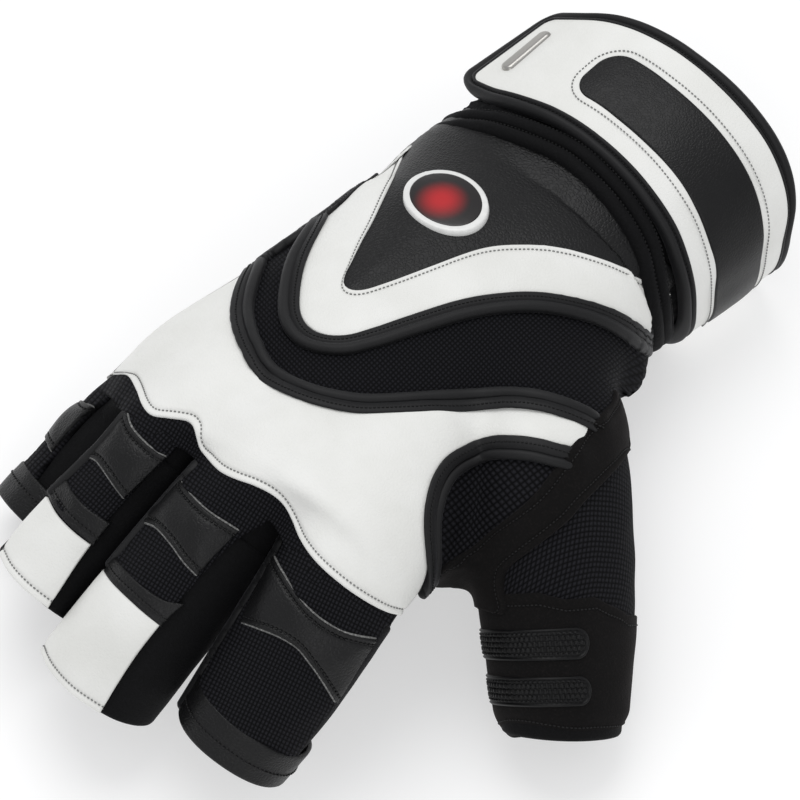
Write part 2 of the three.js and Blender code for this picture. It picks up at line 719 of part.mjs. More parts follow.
// Knuckle pads and pull tabs on the finger stalls, and silicone grips on the thumb's wrap
const bandTop = clearance + leatherThickness;
const patchKinds = {
  pad: { low: clearance, thickness: knucklePadThickness, finish: 'blackLeather' },
  tab: { low: clearance, thickness: pullTabThickness, finish: 'whiteLeather' },
  grip: { low: 2 * clearance + suedeThickness, thickness: gripThickness, finish: 'silicone' },
};
for (const patch of stallPatches) {
  const kind = patchKinds[patch.kind];
  addPiece(patch.name, tubePatch(patch.on, patch, kind.low, kind.thickness), finishes[kind.finish]);
}

// Leather bands round the ends of two stalls, and the suede wrap round the end of the thumb
const endBandStart = 5 / stallSteps;
const thumbWrapStart = 4 / stallSteps;
function endSleeve(name, start, thickness) {
  return tubeSolid(tubes[name], { grow: clearance + thickness, start }).subtract(
    tubeSolid(tubes[name], { grow: clearance, start, before: openEnd, after: openEnd }),
  );
}
addPiece('index_end_band', endSleeve('index', endBandStart, leatherThickness), finishes.blackLeather);
addPiece('little_end_band', endSleeve('little', endBandStart, leatherThickness).subtract(
  stallSolid('ring', bandTop),
), finishes.blackLeather);
addPiece('thumb_wrap', endSleeve('thumb', thumbWrapStart, suedeThickness), finishes.suede);

// Palm leather and its pads, below the seam
const palmTop = sideSeam - clearance;
function palmPrism(shares) {
  return uprightPrism(new THREE.SplineCurve([...planPoints(shares), planPoints(shares)[0]]).getPoints(shares.length * 2)
    .slice(1), 0, palmTop);
}
const palmTubes = ['body', 'little', 'thumb'];
addPiece('palm_panel', layer(palmTubes, palmPrism(palmOutline), clearance, leatherThickness), finishes.suede);
for (const [name, shares] of Object.entries(palmPadOutlines)) {
  addPiece(name, layer(palmTubes, palmPrism(shares), 2 * clearance + leatherThickness, palmPadThickness), finishes.suede);
}

// Wrist: sleeve, two padded rolls, and the strap wound over itself
const sleeve = wristTube(sleeveStart, sleeveLength);
addPiece('wrist_sleeve', tubeSolid(sleeve).subtract(
  tubeSolid(sleeve, { grow: -sleeveWall, before: openEnd, after: openEnd }),
), finishes.pile);
function wristRing(start, length, low, thickness) {
  const tube = wristTube(start, length);
  return tubeSolid(tube, { grow: low + thickness }).subtract(
    tubeSolid(tube, { grow: low, before: openEnd, after: openEnd }),
  );
}
['collar_roll_lower', 'collar_roll_upper'].forEach((name, k) => {
  const start = sleeveStart + k * (rollWidth + clearance);
  addPiece(name, wristRing(start, rollWidth, clearance, rollThickness), finishes.blackLeather);
});
addPiece('strap_backing', wristRing(strapStart, strapWidth, clearance, strapBackingThickness), finishes.binding);

// How far the strap's free end stands off the wrist at an angle
function freeEndLift(angle) {
  const share = THREE.MathUtils.smoothstep(angle, strapFreeEnd - strapFreeEndLiftSpan, strapFreeEnd);
  return strapFreeEndLift * share;
}
// A piece of the strap between two angles: its middle lies at centre along Y, and widthAt gives its width
function strapPiece({ centre, widthAt, low, thickness, from, to }) {
  const tube = wristTube(centre, 1);
  const middle = new THREE.Vector3(wristAcross * handBreadth, centre, wristUp * handHeight);
  const steps = Math.max(2, Math.round(Math.abs(to - from) / (360 / sleeveSides)));
  const rings = [];
  for (let i = 0; i <= steps; i += 1) {
    const angle = from + ((to - from) * i) / steps;
    const lift = freeEndLift(angle);
    const corners = [low + lift, low + thickness + lift].map((grow) =>
      sectionPoint(tube.width + 2 * grow, tube.thickness + 2 * grow, tube.squareness, THREE.MathUtils.degToRad(angle)),
    );
    const half = widthAt(angle) / 2;
    const spots = [[corners[0], -half], [corners[1], -half], [corners[1], half], [corners[0], half]];
    rings.push(spots.map(([[x, z], y]) => middle.clone().add(new THREE.Vector3(x, y, z))));
  }
  return solidOf(skinned(rings));
}
const strapMiddle = strapStart + strapWidth / 2;
const windingLow = 2 * clearance + strapBackingThickness;
const rimAngle = THREE.MathUtils.radToDeg(strapRimWidth / (sleeveWidth / 2));
const rimGapAngle = THREE.MathUtils.radToDeg(clearance / (sleeveWidth / 2));
const winding = { centre: strapMiddle, low: windingLow };
const rimOuter = strapPiece({
  ...winding, widthAt: () => strapWidth, thickness: strapRimThickness, from: strapHiddenEnd, to: strapFreeEnd,
});
const rimInner = strapPiece({
  centre: strapMiddle,
  low: windingLow - clearance,
  widthAt: () => strapWidth - 2 * strapRimWidth,
  thickness: strapRimThickness + 2 * clearance,
  from: strapHiddenEnd + rimAngle,
  to: strapFreeEnd - rimAngle,
});
addPiece('strap_rim', rimOuter.subtract(rimInner), finishes.binding);
addPiece('strap_face', strapPiece({
  ...winding,
  widthAt: () => strapWidth - 2 * strapRimWidth - 2 * clearance,
  thickness: strapFaceThickness,
  from: strapHiddenEnd + rimAngle + rimGapAngle,
  to: strapFreeEnd - rimAngle - rimGapAngle,
}), finishes.whiteLeather);
const onFace = windingLow + strapFaceThickness + clearance;
function insetWidthAt(angle) {
  const fromEnd = Math.min(insetStart - angle, angle - insetEnd);
  const share = THREE.MathUtils.clamp(1 - fromEnd / insetRoundSpan, 0, 0.9);
  return insetWidth * Math.sqrt(1 - share * share);
}
addPiece('strap_inset', strapPiece({
  centre: strapMiddle, widthAt: insetWidthAt, low: onFace, thickness: insetThickness, from: insetEnd, to: insetStart,
}), finishes.blackLeather);
addPiece('strap_bar', strapPiece({
  centre: strapMiddle,
  widthAt: () => barLength,
  low: onFace,
  thickness: barThickness,
  from: barAngle - barWidthAngle / 2,
  to: barAngle + barWidthAngle / 2,
}), finishes.metal);

// The part's origin is on the floor under the middle of the glove
const bounds = new THREE.Box3().setFromObject(glove);
const middle = bounds.getCenter(new THREE.Vector3());
glove.position.set(-middle.x, -middle.y, -bounds.min.z);
const part = new THREE.Group();
part.add(glove);
part.updateMatrixWorld(true);
export default part;
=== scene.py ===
import math

import bpy
import numpy as np
from mathutils import Matrix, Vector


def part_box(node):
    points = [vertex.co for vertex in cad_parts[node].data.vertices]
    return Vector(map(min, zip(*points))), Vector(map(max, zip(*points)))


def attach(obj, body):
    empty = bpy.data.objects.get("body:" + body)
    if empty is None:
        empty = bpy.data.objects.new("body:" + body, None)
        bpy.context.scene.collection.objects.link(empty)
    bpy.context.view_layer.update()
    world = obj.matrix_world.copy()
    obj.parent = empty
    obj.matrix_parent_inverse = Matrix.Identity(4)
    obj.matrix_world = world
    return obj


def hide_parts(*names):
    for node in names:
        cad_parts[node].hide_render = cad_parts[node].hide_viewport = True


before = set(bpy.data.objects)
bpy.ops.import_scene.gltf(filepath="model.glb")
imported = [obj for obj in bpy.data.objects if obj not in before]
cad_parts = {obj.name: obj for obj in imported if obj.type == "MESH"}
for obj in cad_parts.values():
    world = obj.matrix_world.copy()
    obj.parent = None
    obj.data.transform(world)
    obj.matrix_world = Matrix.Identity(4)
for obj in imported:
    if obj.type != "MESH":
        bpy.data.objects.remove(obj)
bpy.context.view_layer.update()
print("frame:", len(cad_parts), "nodes")

# The filled hand that the glove is cut for. Lengths here are in mm: x towards the thumb, y towards the wrist, z up.
# Each form is a tube: its stations hold shares of the hand's breadth, length and height, then of the tube's own
# width and thickness, then a roll in degrees towards the little finger.
hand = {"breadth": 90, "length": 200, "height": 60}
forms = {
    "body": {"width": 80, "thickness": 46, "squareness": 2.4, "stations": [
        [0.0506, 0.43, 0.445, 0.799, 1.0, 0], [0.0506, 0.32, 0.445, 0.799, 1.0, 0],
        [0.0506, 0.2225, 0.445, 0.799, 1.0, 0],
        [0.037, 0.18, 0.447, 0.83, 1.0, 0], [0.0817, 0.1, 0.525, 0.891, 1.0, -1], [0.089, 0.02, 0.57, 0.89, 0.98, -3],
        [0.0833, -0.1, 0.633, 0.925, 0.89, -7], [0.083, -0.21, 0.683, 1.0, 0.78, -11],
        [0.1, -0.285, 0.683, 1.0, 0.7, -14]]},
    "thumb": {"width": 37, "thickness": 33, "squareness": 2.2, "stations": [
        [0.222, 0.075, 0.533, 0.86, 0.91, 20], [0.482, 0.0, 0.667, 0.95, 1.0, 30],
        [0.656, -0.06, 0.617, 0.97, 0.96, 35],
        [0.828, -0.125, 0.417, 0.92, 0.87, 40], [0.999, -0.197, 0.183, 0.73, 0.77, 45]]},
    "web": {"width": 36, "thickness": 20, "squareness": 2.2, "stations": [
        [0.244, -0.06, 0.633, 1.0, 1.2, 0], [0.422, -0.13, 0.625, 1.0, 0.9, 0], [0.578, -0.19, 0.583, 0.78, 0.6, 0]]},
    "index": {"width": 28, "thickness": 27, "squareness": 2.2, "stations": [
        [0.345, -0.13, 0.7, 0.95, 0.96, 10], [0.412, -0.225, 0.75, 1.12, 1.04, 15],
        [0.458, -0.31, 0.667, 1.07, 1.03, 20],
        [0.471, -0.4, 0.45, 1.03, 1.01, 25], [0.464, -0.471, 0.245, 0.93, 0.95, 27]]},
    "middle": {"width": 28, "thickness": 27, "squareness": 2.2, "stations": [
        [0.133, -0.13, 0.717, 0.93, 0.96, -10], [0.15, -0.24, 0.783, 0.93, 1.03, -12],
        [0.147, -0.335, 0.7, 0.9, 1.03, -15],
        [0.142, -0.445, 0.483, 0.99, 1.0, -16], [0.126, -0.522, 0.262, 1.03, 0.96, -16]]},
    "ring": {"width": 28, "thickness": 27, "squareness": 2.2, "stations": [
        [-0.05, -0.13, 0.667, 0.8, 0.9, -12], [-0.083, -0.225, 0.717, 0.8, 0.95, -15],
        [-0.125, -0.315, 0.65, 0.8, 0.94, -18],
        [-0.147, -0.41, 0.433, 0.88, 0.92, -20], [-0.17, -0.486, 0.292, 0.9, 0.9, -20]]},
    "little": {"width": 22, "thickness": 23, "squareness": 2.2, "stations": [
        [-0.15, -0.12, 0.55, 1.0, 1.0, -20], [-0.23, -0.205, 0.517, 1.0, 1.0, -25],
        [-0.285, -0.27, 0.417, 1.0, 1.0, -30],
        [-0.318, -0.343, 0.262, 1.0, 1.0, -35], [-0.333, -0.405, 0.158, 1.0, 0.98, -38]]},
}
fingers = ["index", "middle", "ring", "little"]
for name in [*fingers, "thumb"]:
    forms[name]["open"] = True
everyForm = list(forms)
wrist = {"across": 4.55, "up": 26.7, "width": 63.9, "thickness": 46.2, "squareness": 2.3, "start": 44.8,
         "length": 35.5}
sleeveAcross = 8.46  # where the frame's own sleeve stands across the glove
# How far the cuff's rings lie up the arm (mm) at each angle: at the rolls, and at the strap's low and high edges
skew = {"angles": [-180, -130, -60, -20, 0, 15, 30, 45, 60, 75, 90, 105, 120, 135, 150, 165, 180],
        44.6: [-5.5, -4.0, -3.5, -3.2, -4.2, -4.2, -2.8, -0.3, 1.3, 2.2, 2.2, -0.2, -2.5, -4.7, -6.2, -6.2, -5.5],
        51.7: [-2.0, -3.0, -3.0, -2.6, -2.7, -2.2, -1.2, 0.3, 1.3, 2.0, 2.0, 0.7, -1.2, -2.2, -2.0, -1.6, -2.0],
        82.3: [-3.0, -3.0, -3.0, -3.4, -2.2, 1.0, 3.6, 5.2, 6.0, 6.2, 5.6, 4.0, 1.6, -1.4, -3.0, -3.2, -3.0],
        "flare": 2.5, "flareSpan": 50, "heel": 2.4, "heelAt": -52, "heelSpan": 34}
# Radii in mm that soften where two forms meet, how far an open end still carries what hangs over it, and samples a span
blends = {"palm": 7.0, "fingers": 1.6, "knuckles": 6.0, "overhang": 5.0, "samples": 10}

# The pattern sheet is the glove seen from 60 degrees up at 45 degrees on the thumb side, at 4.5 units per mm
sheet = {"azimuth": 45, "elevation": 60, "units": 4.5, "middle": 400, "far": 90}
turn, tilt = math.radians(sheet["azimuth"]), math.radians(sheet["elevation"])
sheetRight = np.array([math.cos(turn), math.sin(turn), 0])
sheetUp = np.array([-math.sin(turn) * math.sin(tilt), math.cos(turn) * math.sin(tilt), math.cos(tilt)])
sheetBack = np.array([math.sin(turn) * math.cos(tilt), -math.cos(turn) * math.cos(tilt), math.sin(tilt)])

sleeveLow, sleeveHigh = (np.array(corner) * 1000 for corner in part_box("wrist_sleeve"))
sleeveMiddle = np.array([sleeveAcross, wrist["start"] + wrist["length"] / 2, 0])
gloveShift = (sleeveLow + sleeveHigh) / 2 - sleeveMiddle
gloveShift[2] = 0  # both stand on the floor


def unit(v):  # each vector divided by its length
    return v / np.maximum(np.linalg.norm(v, axis=-1, keepdims=True), 1e-12)


def smoothRows(rows, perSpan):
    # Catmull-Rom curve: each span is the cubic that leaves and arrives along the line between its two neighbours
    rows = np.asarray(rows, float)
    ends = np.vstack([2 * rows[:1] - rows[1:2], rows, 2 * rows[-1:] - rows[-2:-1]])
    a, b, c, d = (ends[k : len(ends) - 3 + k, None] for k in range(4))
    w = (np.arange(perSpan) / perSpan)[None, :, None]
    fine = b + w * (c - a) / 2 + w**2 * (a - 2.5 * b + 2 * c - d / 2) + w**3 * (3 * b - a - 3 * c + d) / 2
    return np.vstack([fine.reshape(-1, rows.shape[1]), rows[-1:]])


def runsOf(line):  # distance travelled along a line of points, from its first
    return np.concatenate([[0], np.cumsum(np.linalg.norm(np.diff(line, axis=0), axis=1))])


def resampled(line, shares):  # points at these shares of the line's length
    run = runsOf(line)
    return np.stack([np.interp(np.asarray(shares) * run[-1], run, line[:, k]) for k in range(line.shape[1])], 1)


def smoothLine(points, shares):
    points = np.asarray(points, float)
    return resampled(points if len(points) < 3 else smoothRows(points, 12), shares)


def gathered(count, gather=0.5):  # shares from 0 to 1, closer together near both ends: even + cosine
    x = np.linspace(0, 1, count)
    return (1 - gather) * x + gather * (1 - np.cos(math.pi * x)) / 2


def makeTube(form):
    # The tube's centre line with, at each sample, its half sizes and its own axes: along it, out of its back and to
    # its side
    scale = [hand["breadth"], hand["length"], hand["height"], form["width"] / 2, form["thickness"] / 2, 1]
    rows = smoothRows(np.array(form["stations"]) * scale, blends["samples"])
    along = np.gradient(rows[:, :3], axis=0)
    pitch = np.linalg.norm(along, axis=1)
    along = unit(along)
    back = unit(np.array([0, 0, 1.0]) - along * along[:, 2:])
    side = np.cross(back, along)
    roll = np.radians(rows[:, 5:])
    return {
        "centre": rows[:, :3], "half": rows[:, 3:5], "along": along, "pitch": pitch, "squareness": form["squareness"],
        "open": form.get("open", False),
        "back": back * np.cos(roll) + side * np.sin(roll), "side": side * np.cos(roll) - back * np.sin(roll),
    }


tubes = {name: makeTube(form) for name, form in forms.items()}


def rowsAt(table, place):  # straight line between the two samples on either side of each place
    low = np.clip(np.floor(place).astype(int), 0, len(table) - 2)
    part = np.clip(place, 0, len(table) - 1) - low
    part = part[..., None] if table.ndim > 1 else part
    return table[low] * (1 - part) + table[low + 1] * part


def ovalPoint(half, squareness, angle):
    # Superellipse |u/a|^n + |v/b|^n = 1, its angle running from the thumb side (0) over the back (90)
    c, s = np.cos(np.radians(angle)), np.sin(np.radians(angle))
    power = 2 / squareness
    return half[..., 0] * np.sign(c) * np.abs(c) ** power, half[..., 1] * np.sign(s) * np.abs(s) ** power


def tubePoints(tube, share, angle, grow=0.0):
    share, angle, grow = np.broadcast_arrays(share, angle, grow)
    last = len(tube["centre"]) - 1
    place = share * last
    over = place - np.clip(place, 0, last)
    u, v = ovalPoint(rowsAt(tube["half"], place) + grow[..., None], tube["squareness"], angle)
    centre = rowsAt(tube["centre"], place)
    centre = centre + rowsAt(tube["along"], place) * (over * rowsAt(tube["pitch"], place))[..., None]
    return centre + u[..., None] * rowsAt(tube["side"], place) + v[..., None] * rowsAt(tube["back"], place)


def wristPoints(y, angle, grow=0.0):  # the straight sleeve: a superellipse ring at each y
    y, angle, grow = np.broadcast_arrays(y, angle, grow)
    half = np.array([wrist["width"] / 2, wrist["thickness"] / 2]) + grow[..., None]
    u, v = ovalPoint(half, wrist["squareness"], angle)
    return np.stack([wrist["across"] + u, y, wrist["up"] + v], -1)


def skewAt(y, angle):  # straight lines between the angles of each ring, then between the rings
    turned = np.mod(angle + 180, 360) - 180
    rings = [key for key in skew if not isinstance(key, str)]
    curves = [smoothRows(np.stack([skew["angles"], skew[ring]], 1), 8) for ring in rings]
    shifts = [np.interp(turned, curve[:, 0], curve[:, 1]) for curve in curves]
    place = np.interp(y, rings, range(len(rings)))
    return sum(shift * np.clip(1 - np.abs(place - k), 0, 1) for k, shift in enumerate(shifts))


def cuffPoints(y, angle, grow=0.0):
    # The sleeve's rings, skewed, and standing out like a cone on the thumb's side
    turned = np.mod(angle + 180, 360) - 180
    flare = skew["flare"] * np.exp(-((turned / skew["flareSpan"]) ** 2)) * np.clip((y - 51.7) / 30.6, 0, 1)
    heel = skew["heel"] * np.exp(-(((turned - skew["heelAt"]) / skew["heelSpan"]) ** 2))
    return wristPoints(y + skewAt(y, angle), angle, grow + flare + heel)


def tubeDistance(tube, points):
    # Distance from the tube's skin, out along the line from its centre: |p| (1 - 1 / rho), where rho is the
    # superellipse's own radius at p. Past an end, the distance to that end is added at right angles.
    centre = tube["centre"]
    gap = (centre**2).sum(1) - 2 * points @ centre.T
    near = gap.argmin(1)
    run = ((points - centre[near]) * tube["along"][near]).sum(1) / tube["pitch"][near]
    place = near + np.clip(run, -1, 1)
    inside = np.clip(place, 0, len(centre) - 1)
    off = points - rowsAt(centre, inside)
    half = rowsAt(tube["half"], inside)
    u = (off * rowsAt(tube["side"], inside)).sum(1)
    v = (off * rowsAt(tube["back"], inside)).sum(1)
    power = tube["squareness"]
    rho = (np.abs(u / half[:, 0]) ** power + np.abs(v / half[:, 1]) ** power) ** (1 / power)
    flat = np.hypot(u, v)
    distance = np.where(rho > 0.05, flat * (1 - 1 / np.maximum(rho, 0.05)), -half.min(1))
    past = np.where((near == 0) | (near == len(centre) - 1), np.abs((off * rowsAt(tube["along"], inside)).sum(1)), 0)
    past = np.where((place < 0) | (place > len(centre) - 1) | (np.abs(run) > 1), past, 0)
    past = np.where((place > len(centre) - 1) & tube["open"], np.maximum(past - blends["overhang"], 0), past)
    return np.where(past > 1e-6, np.hypot(np.maximum(distance, 0), past), distance)


def softMin(a, b, radius):  # the smaller of two distances, rounded over where they are nearly equal
    h = np.clip(0.5 + 0.5 * (b - a) / radius, 0, 1)
    return b * (1 - h) + a * h - radius * h * (1 - h)


def formDistance(points, names=everyForm):
    groups = {}
    for name in names:
        group = "fingers" if name in fingers else "palm"
        distance = tubeDistance(tubes[name], points)
        groups[group] = softMin(groups[group], distance, blends[group]) if group in groups else distance
    both = list(groups.values())
    return both[0] if len(both) == 1 else softMin(both[0], both[1], blends["knuckles"])


def formSlope(points, names=everyForm):  # central differences of the distance
    step = 0.4
    slope = np.zeros_like(points)
    for k in range(3):
        shift = np.zeros(3)
        shift[k] = step
        slope[:, k] = (formDistance(points + shift, names) - formDistance(points - shift, names)) / (2 * step)
    return slope


def ontoForm(points, names=everyForm, level=0.0, rounds=3):
    # Newton steps along the slope until the distance is the level
    shape = points.shape
    points = points.reshape(-1, 3).copy()
    for _ in range(rounds):
        slope = formSlope(points, names)
        miss = formDistance(points, names) - level
        step = miss / np.maximum((slope**2).sum(1), 0.2)
        points -= slope * np.clip(step, -4, 4)[:, None]
    return points.reshape(shape)


def formNormal(points, names=everyForm):
    return unit(formSlope(points.reshape(-1, 3), names)).reshape(points.shape)


def castOnForm(origins, direction, names=everyForm):
    # Each ray goes forward by most of its distance from the form until it meets it; one that misses stops at its nearest
    shape = origins.shape
    points = origins.reshape(-1, 3).copy()
    best, bestGap = points.copy(), np.full(len(points), 1e9)
    live = np.arange(len(points))
    for _ in range(70):
        gap = formDistance(points[live], names)
        better = np.abs(gap) < bestGap[live]
        bestGap[live[better]] = np.abs(gap[better])
        best[live[better]] = points[live[better]]
        on = (np.abs(gap) > 0.01) & (((points[live] - origins.reshape(-1, 3)[live]) @ direction) < 200)
        live, gap = live[on], gap[on]
        if not len(live):
            break
        points[live] += direction * (0.75 * np.clip(gap, -3, 20))[:, None]
    return ontoForm(best.reshape(shape), names)


def sheetSpots(points):  # a spot of the sheet as a point far in front of the glove
    points = np.asarray(points, float)
    p = (points[..., :1] - sheet["middle"]) / sheet["units"]
    q = (sheet["middle"] - points[..., 1:2]) / sheet["units"]
    return p * sheetRight + q * sheetUp + sheetBack * sheet["far"]


def onSheet(points, names=everyForm):
    return castOnForm(sheetSpots(points), -sheetBack, names)


def coonsGrid(low, high, start, end):
    # Coons patch: the two rulings between opposite edges added, less the flat patch between the corners
    s, r = np.linspace(0, 1, len(low))[:, None, None], np.linspace(0, 1, len(start))[None, :, None]
    runs = runsOf(start)
    r = (runs / max(runs[-1], 1e-9))[None, :, None]
    runs = runsOf(low)
    s = (runs / max(runs[-1], 1e-9))[:, None, None]
    across = (1 - r) * low[:, None] + r * high[:, None]
    along = (1 - s) * start[None] + s * end[None]
    corners = (1 - s) * ((1 - r) * low[0] + r * high[0]) + s * ((1 - r) * low[-1] + r * high[-1])
    return across + along - corners


def continued(grid, steps, stride, names=everyForm):
    # Rows that carry on past the first one: all its points walk side by side over the form, on the row's mean heading
    row, rows = grid[0], []
    way = unit((grid[0] - grid[3]).mean(0)) - 0.3 * sheetBack
    for _ in range(steps):
        normal = formNormal(row, names)
        ahead = unit(way - (way * normal).sum(-1, keepdims=True) * normal)
        row = ontoForm(row + stride * ahead, names, rounds=2)
        rows.append(row)
        way = unit(ahead.mean(0))
    return np.concatenate([np.stack(rows[::-1]), grid])


def wrapped(grid, cut, names=everyForm):  # a grid carried on at its start and at its end, where its dictionary says so
    if "wrapStart" in cut:
        grid = continued(grid, cut["wrapStart"], 1.1, names)
    if "wrapEnd" in cut:
        grid = continued(grid[::-1], cut["wrapEnd"], 1.1, names)[::-1]
    return grid


noiseTable = np.random.default_rng(7).normal(size=(9, 5))


def softNoise(points, size, seed=0):
    # Sum of nine sine waves in fixed random directions, between about -1 and 1
    total = np.zeros(points.shape[:-1])
    for k, (a, b, c, phase, stretch) in enumerate(noiseTable):
        way = unit(np.array([a, b, c])) / size * (1 + 0.35 * abs(stretch)) * 2 * math.pi
        total += np.sin(points @ way + 9 * phase + seed * (k + 1.7))
    return total / 4


# Pieces


def meshPiece(name, points, faces, uvs, material, replaces=()):
    # Points in glove mm become a mesh in metres in the part's frame, its faces turned so that they enclose a positive
    # volume, which is the sum of the small pyramids from the piece's middle to each triangle.
    # Where the glove lies on the floor its lowest mm is pressed flat: below 0.8 the height falls off exponentially.
    points = np.column_stack([points[:, :2],
                              np.where(points[:, 2] < 0.8, 0.8 * np.exp(points[:, 2] / 0.8 - 1), points[:, 2])])
    corners = np.concatenate([np.stack([f[:, 0], f[:, k], f[:, k + 1]], 1) for f in faces
                              for k in range(1, f.shape[1] - 1)])
    a, b, c = (points[corners[:, k]] - points.mean(0) for k in range(3))
    if (a * np.cross(b, c)).sum() < 0:
        faces, uvs = [f[:, ::-1] for f in faces], [u[:, ::-1] for u in uvs]
    mesh = bpy.data.meshes.new(name)
    mesh.from_pydata(((points + gloveShift) / 1000).tolist(), [], [row for f in faces for row in f.tolist()])
    layer = mesh.uv_layers.new(name="cloth")
    layer.data.foreach_set("uv", np.concatenate([u.reshape(-1, 2) for u in uvs]).astype(np.float32).ravel())
    mesh.polygons.foreach_set("use_smooth", np.ones(len(mesh.polygons), bool))
    mesh.materials.append(material)
    mesh.update()
    piece = bpy.data.objects.new(name, mesh)
    bpy.context.scene.collection.objects.link(piece)
    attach(piece, "root")
    if replaces:
        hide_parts(*replaces)
    return piece


def gridFaces(rows, columns, wrapRows=False, wrapColumns=False, first=0):
    # Quads between neighbouring rows and columns, with the corner places that their uv needs past a wrap
    i, j = np.meshgrid(np.arange(rows - (not wrapRows)), np.arange(columns - (not wrapColumns)), indexing="ij")
    i, j = i.ravel(), j.ravel()
    ci = np.stack([i, i, i + 1, i + 1], 1)
    cj = np.stack([j, j + 1, j + 1, j], 1)
    return first + (ci % rows) * columns + cj % columns, ci, cj


def edgeRuns(grid):
    # Distance on the cloth from each of the four edges of a grid
    across = np.concatenate([np.zeros((len(grid), 1)), np.cumsum(np.linalg.norm(np.diff(grid, axis=1), axis=2), 1)], 1)
    along = np.concatenate([np.zeros((1, grid.shape[1])),
                            np.cumsum(np.linalg.norm(np.diff(grid, axis=0), axis=2), 0)], 0)
    return {"low": across, "high": across[:, -1:] - across, "start": along, "end": along[-1:] - along}


def rounded(run, radius):  # quarter circle from 0 at the edge to 1 at the radius
    x = np.clip(run / radius, 0, 1)
    return np.sqrt(1 - (1 - x) ** 2)


def evened(vectors, rounds=4):  # each direction of a grid drawn towards the mean of its neighbours
    for _ in range(rounds):
        p = np.pad(vectors, ((1, 1), (1, 1), (0, 0)), mode="edge")
        vectors = unit(p[:-2, 1:-1] + p[2:, 1:-1] + p[1:-1, :-2] + p[1:-1, 2:] + 2 * vectors)
    return vectors


def slabPiece(name, grid, cut, material, replaces=(), names=everyForm, normal=None, runs=None, uv=None):
    # Closed layer on the form: its top stands off by a height that rounds down at the edges, swells as a pad does and
    # dips along its seams, and its underside sinks into what carries it
    normal = evened(formNormal(grid, names)) if normal is None else normal
    runs = edgeRuns(grid) if runs is None else runs
    nearest = np.minimum.reduce([runs[edge] for edge in cut.get("edges", ["low", "high", "start", "end"])])
    inner = np.minimum.reduce([runs[edge] for edge in cut.get("pulled", ["low", "high", "start", "end"])])
    height = cut["height"] * rounded(nearest, cut.get("round", 0.8))
    if "swell" in cut:
        height = height + cut["swell"] * (1 - np.exp(-inner / cut.get("swellRun", 4.0)))
    for edge, inset in cut.get("seams", []):
        height = height - cut.get("dip", 0.35) * np.exp(-(((runs[edge] - inset) / cut.get("dipWidth", 0.55)) ** 2))
    if "ripple" in cut:
        size = cut.get("rippleSize", 14.0)
        ripple = softNoise(grid, size, cut.get("seed", 1))
        height = height + cut["ripple"] * ripple * rounded(inner, 4.0)
    for spot, rise, reach in cut.get("humps", []):  # Gaussian rise over something that passes below
        away = ((grid - onSheet(np.array([spot], float))[0]) ** 2).sum(-1)
        height = height + rise * np.exp(-away / (2 * reach**2)) * rounded(nearest, 1.2)
    top = grid + normal * (cut.get("lift", 0.0) + height)[..., None]
    under = grid + normal * (cut.get("lift", 0.0) - cut.get("sink", 0.5))
    rows, columns = grid.shape[:2]
    count = rows * columns
    points = np.concatenate([top.reshape(-1, 3), under.reshape(-1, 3)])
    quads, ci, cj = gridFaces(rows, columns)
    flat = np.stack([runs["low"], runs["start"]], -1) if uv is None else uv
    uvs = flat[ci, cj]
    rim = np.concatenate([np.arange(columns), np.arange(1, rows) * columns + columns - 1,
                          (rows - 1) * columns + np.arange(columns - 2, -1, -1), np.arange(rows - 2, 0, -1) * columns])
    after = np.roll(rim, -1)
    sides = np.stack([after, rim, rim + count, after + count], 1)
    flatRows = flat.reshape(-1, 2)
    sideUv = np.stack([flatRows[after], flatRows[rim], flatRows[rim], flatRows[after]], 1)
    piece = meshPiece(name, points, [quads, quads[:, ::-1] + count, sides], [uvs, uvs[:, ::-1], sideUv],
                      material, replaces)
    return {"piece": piece, "top": top, "normal": normal, "runs": runs}


def seamLine(layer, edge, inset, trim=0.0):
    # The line on a layer's top at a distance from one edge, and the normals along it
    top, normal, run = layer["top"], layer["normal"], layer["runs"][edge]
    if edge in ("start", "end"):
        top, normal, run = top.transpose(1, 0, 2), normal.transpose(1, 0, 2), run.T
    if edge in ("high", "end"):
        top, normal, run = top[:, ::-1], normal[:, ::-1], run[:, ::-1]
    place = np.clip((run < inset).sum(1) - 1, 0, run.shape[1] - 2)
    rows = np.arange(len(run))
    part = np.clip((inset - run[rows, place]) / np.maximum(run[rows, place + 1] - run[rows, place], 1e-9), 0, 1)[:,
                                                                                                                 None]
    line = top[rows, place] * (1 - part) + top[rows, place + 1] * part
    out = normal[rows, place] * (1 - part) + normal[rows, place + 1] * part
    travelled = runsOf(line)
    keep = (travelled >= trim) & (travelled <= travelled[-1] - trim)
    return line[keep], unit(out[keep])


threads = {}  # stitches wait here until all the seams are sewn, one list for each colour of thread


def sew(colour, line, normal, stitch=0.62, pitch=0.95, radius=0.17, sink=0.05):
    # Capsules laid end to end along a line, each on the surface and turned along it
    run = runsOf(line)
    if run[-1] < 2 * pitch:
        return
    count = int(run[-1] // pitch)
    at = (np.arange(count) + 0.5) * run[-1] / count
    take = lambda table, where: np.stack([np.interp(where, run, table[:, k]) for k in range(3)], 1)
    centre, out = take(line, at), unit(take(normal, at))
    ahead = unit(take(line, at + 0.3) - take(line, at - 0.3))
    across = unit(np.cross(out, ahead))
    threads.setdefault(colour, []).append((centre + out * (radius - sink), ahead, across,
                                           unit(np.cross(ahead, across)),
                                           np.full(count, stitch), np.full(count, radius)))


